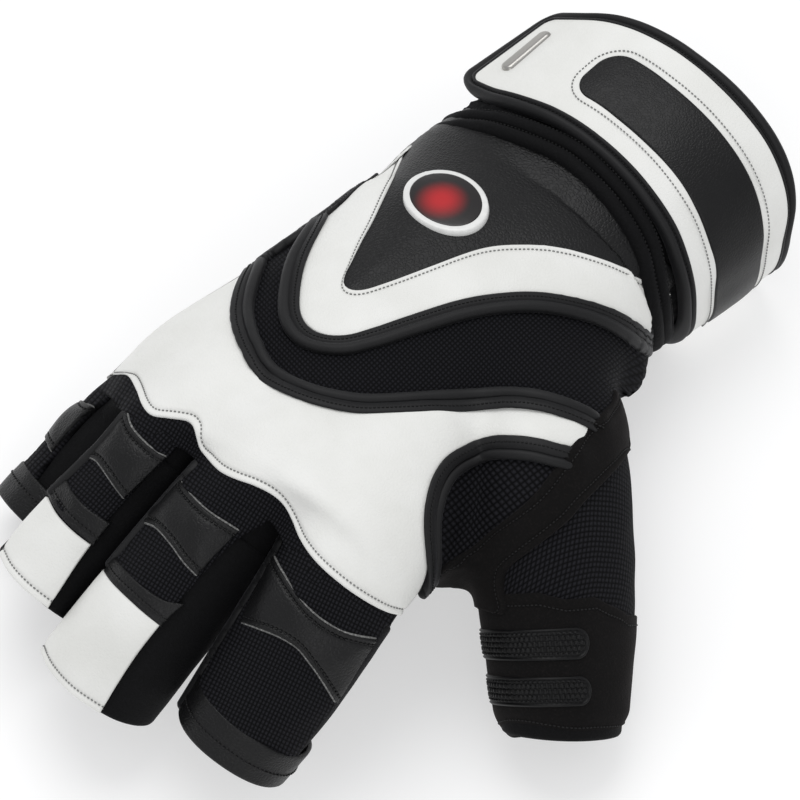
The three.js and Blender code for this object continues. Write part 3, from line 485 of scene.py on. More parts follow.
def sewThreads(colour, material):
    sets = [np.concatenate(column) for column in zip(*threads[colour])]
    centre, ahead, across, out, length, radius = sets
    reach = np.array([-0.5, -0.44, -0.28, 0, 0.28, 0.44, 0.5])
    girth = np.array([0.0, 0.6, 0.95, 1.0, 0.95, 0.6, 0.0])
    sides = 6
    angle = np.arange(sides) * 2 * math.pi / sides
    x = np.concatenate([[reach[0]], np.repeat(reach[1:-1], sides), [reach[-1]]])
    u = np.concatenate([[0], (girth[1:-1, None] * np.cos(angle)).ravel(), [0]])
    v = np.concatenate([[0], (girth[1:-1, None] * np.sin(angle)).ravel(), [0]])
    points = (centre[:, None] + ahead[:, None] * (x[None] * length[:, None])[..., None]
              + across[:, None] * (u[None] * radius[:, None])[..., None] + out[:, None]
              * (v[None] * radius[:, None])[..., None])
    quads, _, _ = gridFaces(5, sides, wrapColumns=True, first=1)
    ring = np.arange(sides)
    start = np.stack([np.zeros(sides, int), 1 + (ring + 1) % sides, 1 + ring], 1)
    lastRing = 1 + 4 * sides
    end = np.stack([np.full(sides, 1 + 5 * sides), lastRing + ring, lastRing + (ring + 1) % sides], 1)
    shift = np.arange(len(centre))[:, None, None] * len(x)
    faces = [(f[None] + shift).reshape(-1, f.shape[1]) for f in (quads, start, end)]
    uvs = [np.zeros(f.shape + (2,)) for f in faces]
    meshPiece("stitches_" + colour, points.reshape(-1, 3), faces, uvs, material)


def ringPiece(name, surface, profile, sides, material, replaces=(), ripple=0.0, rippleSize=9.0,
              outside=-0.6, seed=2, weaveTurn=1.0):
    # A closed profile of (place along, grow) pairs carried all the way round a tube
    profile = np.asarray(profile, float)
    angle = np.arange(sides) * 360 / sides
    points = surface(profile[:, :1], angle[None], profile[:, 1:])
    if ripple:
        centre = points.mean(1, keepdims=True)
        out = unit(points - centre)
        worn = np.clip((profile[:, 1] - outside) / 0.5, 0, 1)[:, None]
        points = points + out * (ripple * worn * softNoise(points, rippleSize, seed))[..., None]
    quads, ci, cj = gridFaces(len(profile), sides, wrapRows=True, wrapColumns=True)
    girth = np.linalg.norm(points[0] - np.roll(points[0], -1, 0), axis=1).sum()
    closed = np.concatenate([points[:, 0], points[:1, 0]])
    run = runsOf(closed)
    uvs = np.stack([cj * (round(girth * weaveTurn) / sides), run[ci]], -1)
    return meshPiece(name, points.reshape(-1, 3), [quads], [uvs], material, replaces)


def cuffProfile(start, end, grow, wall, unitLength, steps=24, startRound=True):
    # Out along the outside, round the rim in a half circle, back along the inside and round the other rim
    r = wall / 2
    arc = np.radians(np.linspace(90, -90, 7)[1:-1])
    outer = [(s, grow) for s in np.linspace(start, end, steps)]
    rim = [(end + r * math.cos(a) / unitLength, grow - r + r * math.sin(a)) for a in arc]
    inner = [(s, grow - wall) for s in np.linspace(end, start, steps)]
    back = [(start - r * math.cos(a) / unitLength, grow - r - r * math.sin(a)) for a in arc] if startRound else []
    return outer + rim + inner + back


def tubeLength(name):
    return tubes[name]["pitch"].sum() - tubes[name]["pitch"][[0, -1]].mean()


def sweepPiece(name, line, normal, profile, material, replaces=(), names=everyForm, closed=False, taper=1.2,
               onto=None, gridStep=0.7, lowEnd=0.0):
    # A closed profile of (across, height) pairs carried along a line on a surface; each point of it is first laid on
    # the surface and then lifted, and the two ends close to a point
    profile = np.asarray(profile, float)
    length = runsOf(line)[-1]
    if not closed:
        shares = np.linspace(0, 1, max(8, int(length / gridStep)))
        ends = np.array([0.15, 0.45, 0.8]) * taper / length
        shares = np.sort(np.concatenate([shares, ends, 1 - ends]))
        where = runsOf(line) / length
        normal = unit(np.stack([np.interp(shares, where, normal[:, k]) for k in range(3)], 1))
        line = resampled(line, shares)
        nearEnd = np.minimum(shares, 1 - shares) * length
        size = np.maximum(rounded(nearEnd, taper), 0.02)
    else:
        size = np.ones(len(line))
    if closed:
        ahead = unit(np.roll(line, -1, 0) - np.roll(line, 1, 0))
    else:
        ahead = unit(np.gradient(line, axis=0))
    across = unit(np.cross(normal, ahead))
    spread = line[:, None] + across[:, None] * (profile[None, :, :1] * size[:, None, None])
    if onto is None:
        spread = ontoForm(spread, names, rounds=2)
        lifted = formNormal(spread, names)
    elif onto == "flat":
        lifted = np.repeat(normal[:, None], len(profile), 1)
    middle = profile[:, 1].mean()
    high = middle + (profile[None, :, 1:] - middle) * size[:, None, None]
    if lowEnd:  # the last stretch sinks below the piece that covers it
        left = (1 - shares) * length
        high = high - (1.9 * (1 - rounded(left, lowEnd)))[:, None, None]
    points = spread + lifted * high
    rows, columns = points.shape[:2]
    quads, ci, cj = gridFaces(rows, columns, wrapRows=closed, wrapColumns=True)
    around = runsOf(np.concatenate([profile, profile[:1]]))
    run = runsOf(np.concatenate([line, line[:1]]))
    uvs = np.stack([around[cj], run[ci]], -1)
    flat = points.reshape(-1, 3)
    faces, uvLists = [quads], [uvs]
    if not closed:
        ring = np.arange(columns)
        after = (ring + 1) % columns
        flat = np.concatenate([flat, points[0].mean(0)[None], points[-1].mean(0)[None]])
        base = (rows - 1) * columns
        faces.append(np.stack([np.full(columns, rows * columns), after, ring], 1)[:, ::-1][:, ::-1])
        faces.append(np.stack([np.full(columns, rows * columns + 1), base + ring, base + after], 1))
        uvLists += [np.zeros((columns, 3, 2)), np.zeros((columns, 3, 2))]
        faces[1] = faces[1][:, [0, 1, 2]]
    piece = meshPiece(name, flat, faces, uvLists, material, replaces)
    return {"piece": piece, "line": line, "normal": normal, "across": across}


def roundProfile(radius, sides=12, lift=0.0, flatten=1.0):
    angle = np.arange(sides) * 2 * math.pi / sides
    return np.stack([radius * np.cos(angle), lift + radius * flatten * np.sin(angle)], 1)


# Finishes


def hexColour(code):  # sRGB hex to the linear values that Blender mixes
    values = np.array([int(code[k : k + 2], 16) for k in (1, 3, 5)]) / 255
    return [*np.where(values < 0.04045, values / 12.92, ((values + 0.055) / 1.055) ** 2.4), 1]


def newFinish(name, colour, roughness, **sockets):
    material = bpy.data.materials.new(name)
    material.use_nodes = True
    shader = material.node_tree.nodes["Principled BSDF"]
    shader.inputs["Base Color"].default_value = hexColour(colour)
    shader.inputs["Roughness"].default_value = roughness
    for socket, value in sockets.items():
        shader.inputs[socket.replace("_", " ")].default_value = value
    return material, shader


def addNode(material, kind, settings, **links):  # a node with its settings, its inputs set or linked by name or number
    node = material.node_tree.nodes.new("ShaderNode" + kind)
    for key, value in settings.items():
        setattr(node, key, value)
    for key, value in links.items():
        socket = node.inputs[int(key[1:])] if key[1:].isdigit() else node.inputs[key.replace("_", " ")]
        if isinstance(value, bpy.types.NodeSocket):
            material.node_tree.links.new(value, socket)
        else:
            socket.default_value = value
    return node.outputs


def link(material, output, socket):
    material.node_tree.links.new(output, socket)


def leather(name, look):
    # Polyurethane leather on a knit backing, embossed on a roller: a pebble grain, faint cloudy tone and satin shine
    material, shader = newFinish(name, look["colour"], look["roughness"], Specular_IOR_Level=look["shine"])
    place = addNode(material, "TexCoord", {})["Object"]
    bend = addNode(material, "TexNoise", {}, Vector=place, Scale=1000 / 2.5, Detail=2.0)["Color"]
    wavy = addNode(material, "VectorMath", {"operation": "MULTIPLY_ADD"}, _0=bend, _1=(0.0005,) * 3,
                   _2=place)["Vector"]
    pebble = addNode(material, "TexVoronoi", {"feature": "DISTANCE_TO_EDGE"}, Vector=wavy, Scale=1000 / look["grain"])
    groove = addNode(material, "MapRange", {"interpolation_type": "SMOOTHSTEP"}, Value=pebble["Distance"],
                     From_Max=0.28)["Result"]
    cloud = addNode(material, "TexNoise", {}, Vector=place, Scale=1000 / look["cloud"], Detail=3.0)["Fac"]
    tone = addNode(material, "MapRange", {}, Value=cloud, From_Min=0.32, From_Max=0.68)["Result"]
    colour = addNode(material, "Mix", {"data_type": "RGBA"}, Factor=tone, _6=hexColour(look["shade"]),
                     _7=hexColour(look["colour"]))[2]
    link(material, colour, shader.inputs["Base Color"])
    fine = addNode(material, "TexNoise", {}, Vector=place, Scale=1000 / 0.35, Detail=2.0)["Fac"]
    gloss = addNode(material, "MapRange", {}, Value=fine, To_Min=look["roughness"] - 0.06, To_Max=look["roughness"]
                    + 0.08)
    link(material, gloss["Result"], shader.inputs["Roughness"])
    height = addNode(material, "Math", {"operation": "MULTIPLY_ADD"}, _0=fine, _1=0.25, _2=groove)["Value"]
    height = addNode(material, "Math", {"operation": "MULTIPLY_ADD"}, _0=cloud, _1=look["crease"], _2=height)["Value"]
    bump = addNode(material, "Bump", {}, Height=height, Strength=look["relief"], Distance=0.0001)
    link(material, bump["Normal"], shader.inputs["Normal"])
    return material


def woven(name, look):
    # Elastic mesh of polyester and spandex, woven in small cells: matt black yarn, its cell crowns painted lighter as a
    # painted highlight and the gaps between the cells painted dark, partly their own darkness and partly painted shade
    material, shader = newFinish(name, look["litYarn"], 0.8, Specular_IOR_Level=look.get("shine", 0.1))
    place = addNode(material, "UVMap", {"uv_map": "cloth"})["UV"]
    wander = addNode(material, "TexNoise", {}, Vector=place, Scale=0.35, Detail=2.0)["Color"]
    place = addNode(material, "VectorMath", {"operation": "MULTIPLY_ADD"}, _0=wander, _1=(look["wander"],) * 3,
                    _2=place)
    turned = addNode(material, "Mapping", {}, Vector=place["Vector"],
                     Rotation=(0, 0, math.radians(look["turn"])))["Vector"]
    scaled = addNode(material, "VectorMath", {"operation": "MULTIPLY"}, _0=turned,
                     _1=(math.pi / look["across"], math.pi / look["along"], 0))["Vector"]
    axes = addNode(material, "SeparateXYZ", {}, Vector=scaled)
    waves = []
    for axis in ("X", "Y"):
        wave = addNode(material, "Math", {"operation": "SINE"}, _0=axes[axis])["Value"]
        wave = addNode(material, "Math", {"operation": "ABSOLUTE"}, _0=wave)["Value"]
        waves.append(addNode(material, "Math", {"operation": "POWER"}, _0=wave,
                             _1=look["crisp"][axis == "Y"])["Value"])
    cell = addNode(material, "Math", {"operation": "MULTIPLY"}, _0=waves[0], _1=waves[1])["Value"]
    fluff = addNode(material, "TexNoise", {}, Vector=place["Vector"], Scale=5.0, Detail=3.0)["Fac"]
    mixed = addNode(material, "Math", {"operation": "MULTIPLY_ADD"}, _0=fluff, _1=0.3, _2=cell)["Value"]
    # Painted highlight and shade: the cell mask paints each crown in the lit yarn colour as a painted highlight, and
    # each gap in the gap colour, which is partly painted shade
    colour = addNode(material, "Mix", {"data_type": "RGBA"}, Factor=cell, _6=hexColour(look["gap"]),
                     _7=hexColour(look["litYarn"]))[2]
    link(material, colour, shader.inputs["Base Color"])
    bump = addNode(material, "Bump", {}, Height=mixed, Strength=look["relief"], Distance=0.0003)
    link(material, bump["Normal"], shader.inputs["Normal"])
    return material


def napped(name, look):
    # Brushed or knitted cloth: short fibres scatter light, so it is matt with a faint pale bloom at grazing angles
    material, shader = newFinish(name, look["colour"], look["roughness"], Specular_IOR_Level=look["shine"],
                                 Sheen_Weight=look["bloom"], Sheen_Roughness=0.4)
    shader.inputs["Sheen Tint"].default_value = hexColour(look["bloomColour"])
    place = addNode(material, "TexCoord", {})["Object"]
    fibre = addNode(material, "TexNoise", {}, Vector=place, Scale=1000 / look["fibre"], Detail=4.0,
                    Roughness=0.6)["Fac"]
    speck = addNode(material, "MapRange", {}, Value=fibre, From_Min=look.get("low", 0.45),
                    From_Max=look.get("high", 0.8))
    colour = addNode(material, "Mix", {"data_type": "RGBA"}, Factor=speck["Result"], _6=hexColour(look["colour"]),
                     _7=hexColour(look["speck"]))[2]
    link(material, colour, shader.inputs["Base Color"])
    bump = addNode(material, "Bump", {}, Height=fibre, Strength=look["relief"], Distance=0.0002)
    link(material, bump["Normal"], shader.inputs["Normal"])
    return material


def twisted(name, light, dark):
    # Spun polyester thread: fine twist, a little paler on its crown
    material, shader = newFinish(name, light, 0.6, Specular_IOR_Level=0.35)
    place = addNode(material, "TexCoord", {})["Object"]
    twist = addNode(material, "TexNoise", {}, Vector=place, Scale=1000 / 0.25, Detail=2.0)["Fac"]
    colour = addNode(material, "Mix", {"data_type": "RGBA"}, Factor=twist, _6=hexColour(dark), _7=hexColour(light))[2]
    link(material, colour, shader.inputs["Base Color"])
    bump = addNode(material, "Bump", {}, Height=twist, Strength=0.5, Distance=0.0001)
    link(material, bump["Normal"], shader.inputs["Normal"])
    return material


whiteLeather = leather("white polyurethane leather, roller embossed", {
    "colour": "#e6e6e3", "shade": "#dededa", "roughness": 0.5, "shine": 0.35, "grain": 0.9, "cloud": 16, "crease": 0.6,
    "relief": 0.28})
blackLeather = leather("black polyurethane leather, roller embossed", {
    "colour": "#111112", "shade": "#0d0d0e", "roughness": 0.42, "shine": 0.26, "grain": 0.9, "cloud": 12,
    "crease": 0.8,
    "relief": 0.55})
pebbledLeather = leather("black polyurethane leather, coarse pebble", {
    "colour": "#101011", "shade": "#0c0c0d", "roughness": 0.4, "shine": 0.26, "grain": 0.7, "cloud": 12, "crease": 0.8,
    "relief": 0.4})
# Each mesh's lit yarn colour is painted on its cell crowns as a painted highlight; its gap colour is partly painted
# shade between the cells
ribbedMesh = woven("ribbed elastic mesh, woven", {
    "litYarn": "#232327", "gap": "#010102", "across": 0.8, "along": 0.95, "turn": 0, "wander": 0.12, "crisp": (1.2, 0.8),
    "relief": 1.0})
squareMesh = woven("square elastic mesh, woven", {
    "litYarn": "#222226", "gap": "#010102", "across": 1.1, "along": 1.1, "turn": 8, "wander": 0.12, "crisp": (1.0, 1.0),
    "relief": 1.0})
diamondMesh = woven("diamond elastic mesh, woven", {
    "litYarn": "#222226", "gap": "#010102", "across": 1.2, "along": 1.2, "turn": 38, "wander": 0.12, "crisp": (1.0, 1.0),
    "relief": 1.0})
twillMesh = woven("fine diagonal elastic mesh, woven", {
    "litYarn": "#1e1e22", "gap": "#020203", "across": 0.85, "along": 0.85, "turn": 42, "wander": 0.12,
    "crisp": (1.0, 1.0),
    "relief": 0.9})
tape = napped("elastic binding tape, folded and sewn", {
    "colour": "#141415", "speck": "#1b1b1d", "roughness": 0.55, "shine": 0.25, "bloom": 0.12, "bloomColour": "#9a9aa0",
    "fibre": 0.3, "relief": 0.3})
knit = napped("spandex jersey, warp knitted", {
    "colour": "#0b0b0c", "speck": "#121214", "roughness": 0.8, "shine": 0.12, "bloom": 0.08, "bloomColour": "#8c8c92",
    "fibre": 0.6, "relief": 0.9})
suede = napped("microfibre suede, sanded", {
    "colour": "#0c0b0b", "speck": "#1d1a1a", "roughness": 0.95, "shine": 0.15, "bloom": 0.1, "bloomColour": "#8a8080",
    "fibre": 0.5, "relief": 0.7, "low": 0.5, "high": 0.85})
pile = napped("hook-and-loop pile, knitted loops", {
    "colour": "#0a0a0b", "speck": "#19191b", "roughness": 0.95, "shine": 0.15, "bloom": 0.15, "bloomColour": "#7c7c80",
    "fibre": 0.7, "relief": 1.0})
rawEdge = napped("cut edge of polyurethane leather, its pale backing showing", {
    "colour": "#5c5c5b", "speck": "#a0a09e", "roughness": 0.85, "shine": 0.2, "bloom": 0.0, "bloomColour": "#ffffff",
    "fibre": 0.6, "relief": 0.5})
silicone = napped("silicone rubber, moulded", {
    "colour": "#080809", "speck": "#0c0c0d", "roughness": 0.42, "shine": 0.2, "bloom": 0.0, "bloomColour": "#ffffff",
    "fibre": 1.5, "relief": 0.15})
greyThread = twisted("grey polyester thread, spun", "#8f8f8e", "#5c5c5b")
darkThread = twisted("black polyester thread, spun", "#0a0a0b", "#050506")


def brushedSteel():
    # Stamped stainless steel, brushed along its length: grey, bright along the brushing and soft across it
    material, shader = newFinish("stainless steel, brushed", "#a8a6a2", 0.32, Metallic=1.0)
    place = addNode(material, "UVMap", {"uv_map": "cloth"})["UV"]
    stretched = addNode(material, "VectorMath", {"operation": "MULTIPLY"}, _0=place, _1=(12.0, 0.25, 1))["Vector"]
    lines = addNode(material, "TexNoise", {}, Vector=stretched, Scale=1.0, Detail=4.0)["Fac"]
    gloss = addNode(material, "MapRange", {}, Value=lines, To_Min=0.22, To_Max=0.45)["Result"]
    link(material, gloss, shader.inputs["Roughness"])
    bump = addNode(material, "Bump", {}, Height=lines, Strength=0.25, Distance=0.00005)
    link(material, bump["Normal"], shader.inputs["Normal"])
    return material


def badgeRubber():
    # Moulded PVC badge, glossy: deep red in the middle of its field, shading to black at the rim
    material, shader = newFinish("moulded rubber badge field", "#a01018", 0.3, Specular_IOR_Level=0.5)
    place = addNode(material, "UVMap", {"uv_map": "cloth"})["UV"]
    glow = addNode(material, "VectorMath", {"operation": "DISTANCE"}, _0=place, _1=(0.0, -1.2, 0))["Value"]
    fade = addNode(material, "MapRange", {"interpolation_type": "SMOOTHSTEP"}, Value=glow, From_Min=0.8, From_Max=6.5)
    colour = addNode(material, "Mix", {"data_type": "RGBA"}, Factor=fade["Result"], _6=hexColour("#b3131b"),
                     _7=hexColour("#0b0506"))[2]
    link(material, colour, shader.inputs["Base Color"])
    grain = addNode(material, "TexNoise", {}, Vector=place, Scale=2.5, Detail=2.0)["Fac"]
    bump = addNode(material, "Bump", {}, Height=grain, Strength=0.15, Distance=0.0001)
    link(material, bump["Normal"], shader.inputs["Normal"])
    return material


steel = brushedSteel()
badgeField = badgeRubber()
badgeRim = napped("moulded rubber badge rim", {
    "colour": "#dededc", "speck": "#e9e9e7", "roughness": 0.35, "shine": 0.5, "bloom": 0.0, "bloomColour": "#ffffff",
    "fibre": 2.0, "relief": 0.12})
print("finishes:", len(bpy.data.materials))


def sheetCloth(grid, turn):  # cloth laid flat on the sheet: its threads run at this angle from the sheet's right
    right, up = grid @ sheetRight, grid @ sheetUp
    c, s = math.cos(math.radians(turn)), math.sin(math.radians(turn))
    return np.stack([up * c - right * s, right * c + up * s], -1)


# The hand's own shell

shell = {"voxel": 1.3, "level": -0.9, "wall": 1.7, "wristCut": 46.0, "stallCut": 0.57, "thumbCut": 0.72}


def handShell():
    # Every tube as a closed grid of rings with capped ends, fused by a voxel remesh, laid on the blended form and cut
    # open at the wrist and at each stall; Solidify then gives it its wall
    points, faces, first = [], [], 0
    sides = 48
    for name in everyForm:
        top = {"body": 1.0, "web": 1.0}.get(name, 0.66 if name != "thumb" else 0.8)
        share = np.linspace(0.12 if name == "body" else 0.0, top, 50)
        ring = tubePoints(tubes[name], share[:, None], (np.arange(sides) * 360 / sides)[None], shell["level"])
        points += [ring.reshape(-1, 3), ring[0].mean(0)[None], ring[-1].mean(0)[None]]
        quads, _, _ = gridFaces(50, sides, wrapColumns=True, first=first)
        spin = np.arange(sides)
        base, tip = first + 50 * sides, first + 49 * sides
        faces += quads.tolist()
        faces += np.stack([np.full(sides, base), first + (spin + 1) % sides, first + spin], 1).tolist()
        faces += np.stack([np.full(sides, base + 1), tip + spin, tip + (spin + 1) % sides], 1).tolist()
        first += 50 * sides + 2
    mesh = bpy.data.meshes.new("handCore")
    mesh.from_pydata(np.concatenate(points).tolist(), [], faces)
    core = bpy.data.objects.new("handCore", mesh)
    bpy.context.scene.collection.objects.link(core)
    remesh = core.modifiers.new("fuse", "REMESH")
    remesh.mode, remesh.voxel_size = "VOXEL", shell["voxel"]
    fused = core.evaluated_get(bpy.context.evaluated_depsgraph_get()).to_mesh()
    place = np.zeros(len(fused.vertices) * 3)
    fused.vertices.foreach_get("co", place)
    place = place.reshape(-1, 3)
    quads = np.zeros(len(fused.loops), int)
    fused.loops.foreach_get("vertex_index", quads)
    quads = quads.reshape(-1, 4)
    core.to_mesh_clear()
    bpy.data.objects.remove(core)
    cut = place[:, 1] > shell["wristCut"]
    for name in [*fingers, "thumb"]:
        tube = tubes[name]
        last = len(tube["centre"]) - 1
        limit = (shell["thumbCut"] if name == "thumb" else shell["stallCut"]) * last
        middle, way = rowsAt(tube["centre"], np.array([limit]))[0], rowsAt(tube["along"], np.array([limit]))[0]
        gap = place - middle
        cut |= (gap @ way > 0) & (gap @ way < 60) & (tubeDistance(tube, place) < 3)
    place = ontoForm(place, level=shell["level"], rounds=6)
    quads = quads[~cut[quads].any(1)]
    kept, inverse = np.unique(quads, return_inverse=True)
    quads, place = inverse.reshape(-1, 4), place[kept]
    piece = meshPiece("hand_skin", place, [quads], [place[quads][..., :2]], knit,
                      ["hand_palm", "hand_back"])
    even = piece.modifiers.new("even", "SMOOTH")
    even.factor, even.iterations = 0.5, 6
    wall = piece.modifiers.new("wall", "SOLIDIFY")
    wall.thickness, wall.offset = shell["wall"] / 1000, -1
    return piece


handShell()
print("hand shell made")


def stallPoints(name, share, angle, grow):  # a stall's opening slants: it is cut shorter on the palm's side
    trim = 0.022 * (1 - np.sin(np.radians(angle))) / 2 * np.clip((share - 0.7) / 0.3, 0, 1)
    return tubePoints(tubes[name], share - trim, angle, grow)


stalls = {
    "index": {"start": 0.5, "wall": 2.0}, "middle": {"start": 0.5, "wall": 2.0}, "ring": {"start": 0.5, "wall": 2.0},
    "little": {"start": 0.5, "wall": 2.0}, "thumb": {"start": 0.64, "wall": 2.0}}
for name, stall in stalls.items():
    profile = cuffProfile(stall["start"], 1.0, -0.35, stall["wall"], tubeLength(name), steps=40)
    ringPiece(name + "_skin", lambda share, angle, grow, name=name: stallPoints(name, share, angle, grow), profile,
              96, knit, [name + "_stall"], ripple=0.12, seed=len(name))
print("stalls made")

# Panels on the back, traced on the sheet


def untangled(grid, rounds):
    # Elliptic smoothing of a grid's inner points, which opens its folds: along and across the grid each point is drawn
    # between its neighbours, weighted by the squared pitch of the other direction, less the skew between the two
    for _ in range(rounds):
        down, right = (grid[2:, 1:-1] - grid[:-2, 1:-1]) / 2, (grid[1:-1, 2:] - grid[1:-1, :-2]) / 2
        a, b, c = ((v * w).sum(-1, keepdims=True) for v, w in ((right, right), (down, right), (down, down)))
        cross = grid[2:, 2:] - grid[2:, :-2] - grid[:-2, 2:] + grid[:-2, :-2]
        grid[1:-1, 1:-1] = (a * (grid[2:, 1:-1] + grid[:-2, 1:-1]) + c * (grid[1:-1, 2:] + grid[1:-1, :-2]) - b
                            * cross / 2) / (
            2 * (a + c) + 1e-9)
    return grid


def sheetGrid(lines, rows, columns, names=everyForm, gather=0.6):
    along, across = gathered(rows, gather), gathered(columns, gather)
    flat = coonsGrid(smoothLine(lines["low"], along), smoothLine(lines["high"], along),
                     smoothLine(lines["start"], across), smoothLine(lines["end"], across))
    return onSheet(untangled(flat, lines.get("even", 0)), names)


backPanel = {
    "low": [(108, 380), (120, 378), (132, 379), (140, 393), (146, 409), (155, 418), (172, 420), (190, 423), (199, 432),
            (205, 448), (212, 462), (222, 473), (236, 480), (255, 486), (271, 493), (284, 503), (295, 520), (303, 541),
            (313, 557), (326, 571), (345, 587), (366, 601), (384, 610), (395, 612)],
    "high": [(258, 268), (250, 282), (243, 300), (240, 320), (242, 338), (250, 357), (265, 376), (283, 390),
             (304, 399),
             (330, 404), (370, 409), (410, 408), (450, 405), (500, 404), (545, 409), (568, 416), (588, 424)],
    "start": [(108, 380), (125, 368), (155, 342), (204, 300), (244, 271), (258, 268)],
    "end": [(395, 612), (404, 600), (414, 586), (421, 569), (424, 550), (424, 530), (426, 508), (430, 490), (438, 473),
            (450, 460), (470, 449), (497, 443), (530, 445), (556, 449), (574, 447), (588, 424)],
    "rows": 190, "columns": 84, "height": 1.5, "round": 0.55, "swell": 0.5, "swellRun": 5, "fill": 0.4,
    "edges": ["low", "start"], "seams": [("low", 1.9), ("start", 400)], "dip": 0.45, "dipWidth": 0.5, "ripple": 0.35,
    "rippleSize": 30, "seed": 3, "pulled": ["low", "high", "end"], "wrapStart": 11, "even": 200}
blends["fingers"] = 9.0  # the panel and the mesh below it bridge the dips between the knuckles
grid = wrapped(sheetGrid(backPanel, backPanel["rows"], backPanel["columns"]), backPanel)
panel = slabPiece("back_panel_leather", grid, backPanel, whiteLeather, ["back_panel"])
sew("grey", *seamLine(panel, "low", 1.9, 0.5))

knuckleMesh = {
    "low": [(98, 392), (114, 399), (126, 412), (138, 428), (158, 441), (184, 449), (202, 464), (215, 484), (238, 502),
            (264, 514), (280, 532), (291, 554), (305, 575), (330, 594), (360, 613), (388, 624)],
    "high": [(112, 370), (126, 372), (140, 376), (150, 398), (160, 411), (180, 414), (200, 424), (212, 444),
             (222, 462),
             (242, 474), (264, 482), (284, 494), (302, 514), (312, 540), (330, 562), (360, 588), (396, 603)],
    "start": [(98, 392), (105, 380), (112, 370)], "end": [(388, 624), (396, 603)], "rows": 150, "columns": 26,
    "height": 0.95, "round": 0.5, "fill": 0.2, "wrapStart": 6}
grid = wrapped(sheetGrid(knuckleMesh, 150, 26), knuckleMesh)
slabPiece("knuckle_back_mesh", grid, knuckleMesh, ribbedMesh, uv=sheetCloth(grid, 58))
blends["fingers"] = 1.6

stretchPanel = {
    "low": [(290, 240), (268, 262), (254, 290), (249, 320), (257, 350), (276, 380), (310, 396), (350, 403), (400, 403),
            (450, 400), (500, 397), (540, 401), (575, 411), (602, 424)],
    "high": [(330, 222), (308, 250), (297, 275), (291, 300), (293, 325), (303, 341), (325, 350), (350, 350),
             (380, 342),
             (420, 327), (460, 313), (500, 306), (540, 306), (585, 313), (612, 323), (640, 343)],
    "start": [(290, 240), (310, 228), (330, 222)], "end": [(602, 424), (622, 390), (640, 343)],
    "rows": 120, "columns": 44, "height": 0.7, "round": 0.6, "swell": 0.5, "fill": 0.2, "ripple": 0.2,
    "rippleSize": 18,
    "seed": 5, "wrapStart": 12, "wrapEnd": 10,
    "humps": [((626, 372), 3.2, 5.0)]}
grid = wrapped(sheetGrid(stretchPanel, 120, 44), stretchPanel)
slabPiece("stretch_panel_mesh", grid, stretchPanel, twillMesh, ["stretch_panel"],
          uv=sheetCloth(grid, 0))

wristBand = {
    "low": [(352, 196), (335, 215), (320, 240), (308, 265), (300, 290), (298, 310), (305, 327), (322, 339), (348, 342),
            (378, 335), (410, 324), (460, 308), (500, 301), (540, 300), (585, 308), (615, 319), (650, 340)],
    "high": [(416, 146), (408, 158), (397, 180), (386, 202), (375, 224), (364, 244), (354, 264), (347, 277),
             (345, 287),
             (352, 293), (366, 293), (390, 285), (430, 270), (480, 252), (520, 248), (560, 251), (605, 264),
             (650, 284)],
    "start": [(352, 196), (372, 182), (395, 163), (416, 146)], "end": [(650, 340), (655, 315), (650, 284)],
    "rows": 150, "columns": 34, "height": 1.45, "round": 0.5, "swell": 0.35, "fill": 0.4, "edges": ["low", "high"],
    "seams": [("high", 1.5)], "dip": 0.4, "ripple": 0.2, "rippleSize": 20, "seed": 6, "wrapStart": 14, "wrapEnd": 5}
band = slabPiece("wrist_band_leather", wrapped(sheetGrid(wristBand, 150, 34), wristBand), wristBand, whiteLeather,
                 ["wrist_band"])
sew("grey", *seamLine(band, "high", 1.5, 0.4))

wristCentre = {
    "low": [(341, 296), (366, 300), (400, 288), (440, 273), (480, 258), (520, 254), (560, 257), (600, 268),
            (640, 284)],
    "high": [(418, 142), (442, 122), (470, 112), (502, 114), (544, 130), (586, 154), (620, 184), (646, 220),
             (664, 262)],
    "start": [(341, 296), (342, 280), (352, 260), (366, 234), (380, 208), (394, 180), (406, 156), (418, 142)],
    "end": [(640, 284), (654, 274), (664, 262)],
    "rows": 110, "columns": 70, "height": 0.8, "round": 0.6, "swell": 1.1, "swellRun": 7, "fill": 0.6, "ripple": 0.3,
    "rippleSize": 24, "seed": 8, "wrapEnd": 6}
grid = wrapped(sheetGrid(wristCentre, wristCentre["rows"], wristCentre["columns"]), wristCentre)
centre = slabPiece("wrist_centre_leather", grid, wristCentre, blackLeather, ["wrist_centre"])

webPatch = {
    "low": [(428, 574), (430, 541), (433, 516), (438, 497), (446, 480), (457, 469), (474, 461), (496, 454), (522, 453),
            (550, 459), (570, 465)],
    "high": [(455, 572), (480, 555), (508, 533), (535, 506), (553, 485), (576, 468)],
    "start": [(428, 574), (455, 572)], "end": [(570, 465), (576, 468)],
    "rows": 60, "columns": 36, "height": 0.6, "round": 0.5, "swell": 0.4, "fill": 0.2, "ripple": 0.15,
    "rippleSize": 12}
grid = sheetGrid(webPatch, 60, 36)
slabPiece("web_patch_mesh", grid, webPatch, diamondMesh, ["web_patch"],
          uv=sheetCloth(grid, 0))

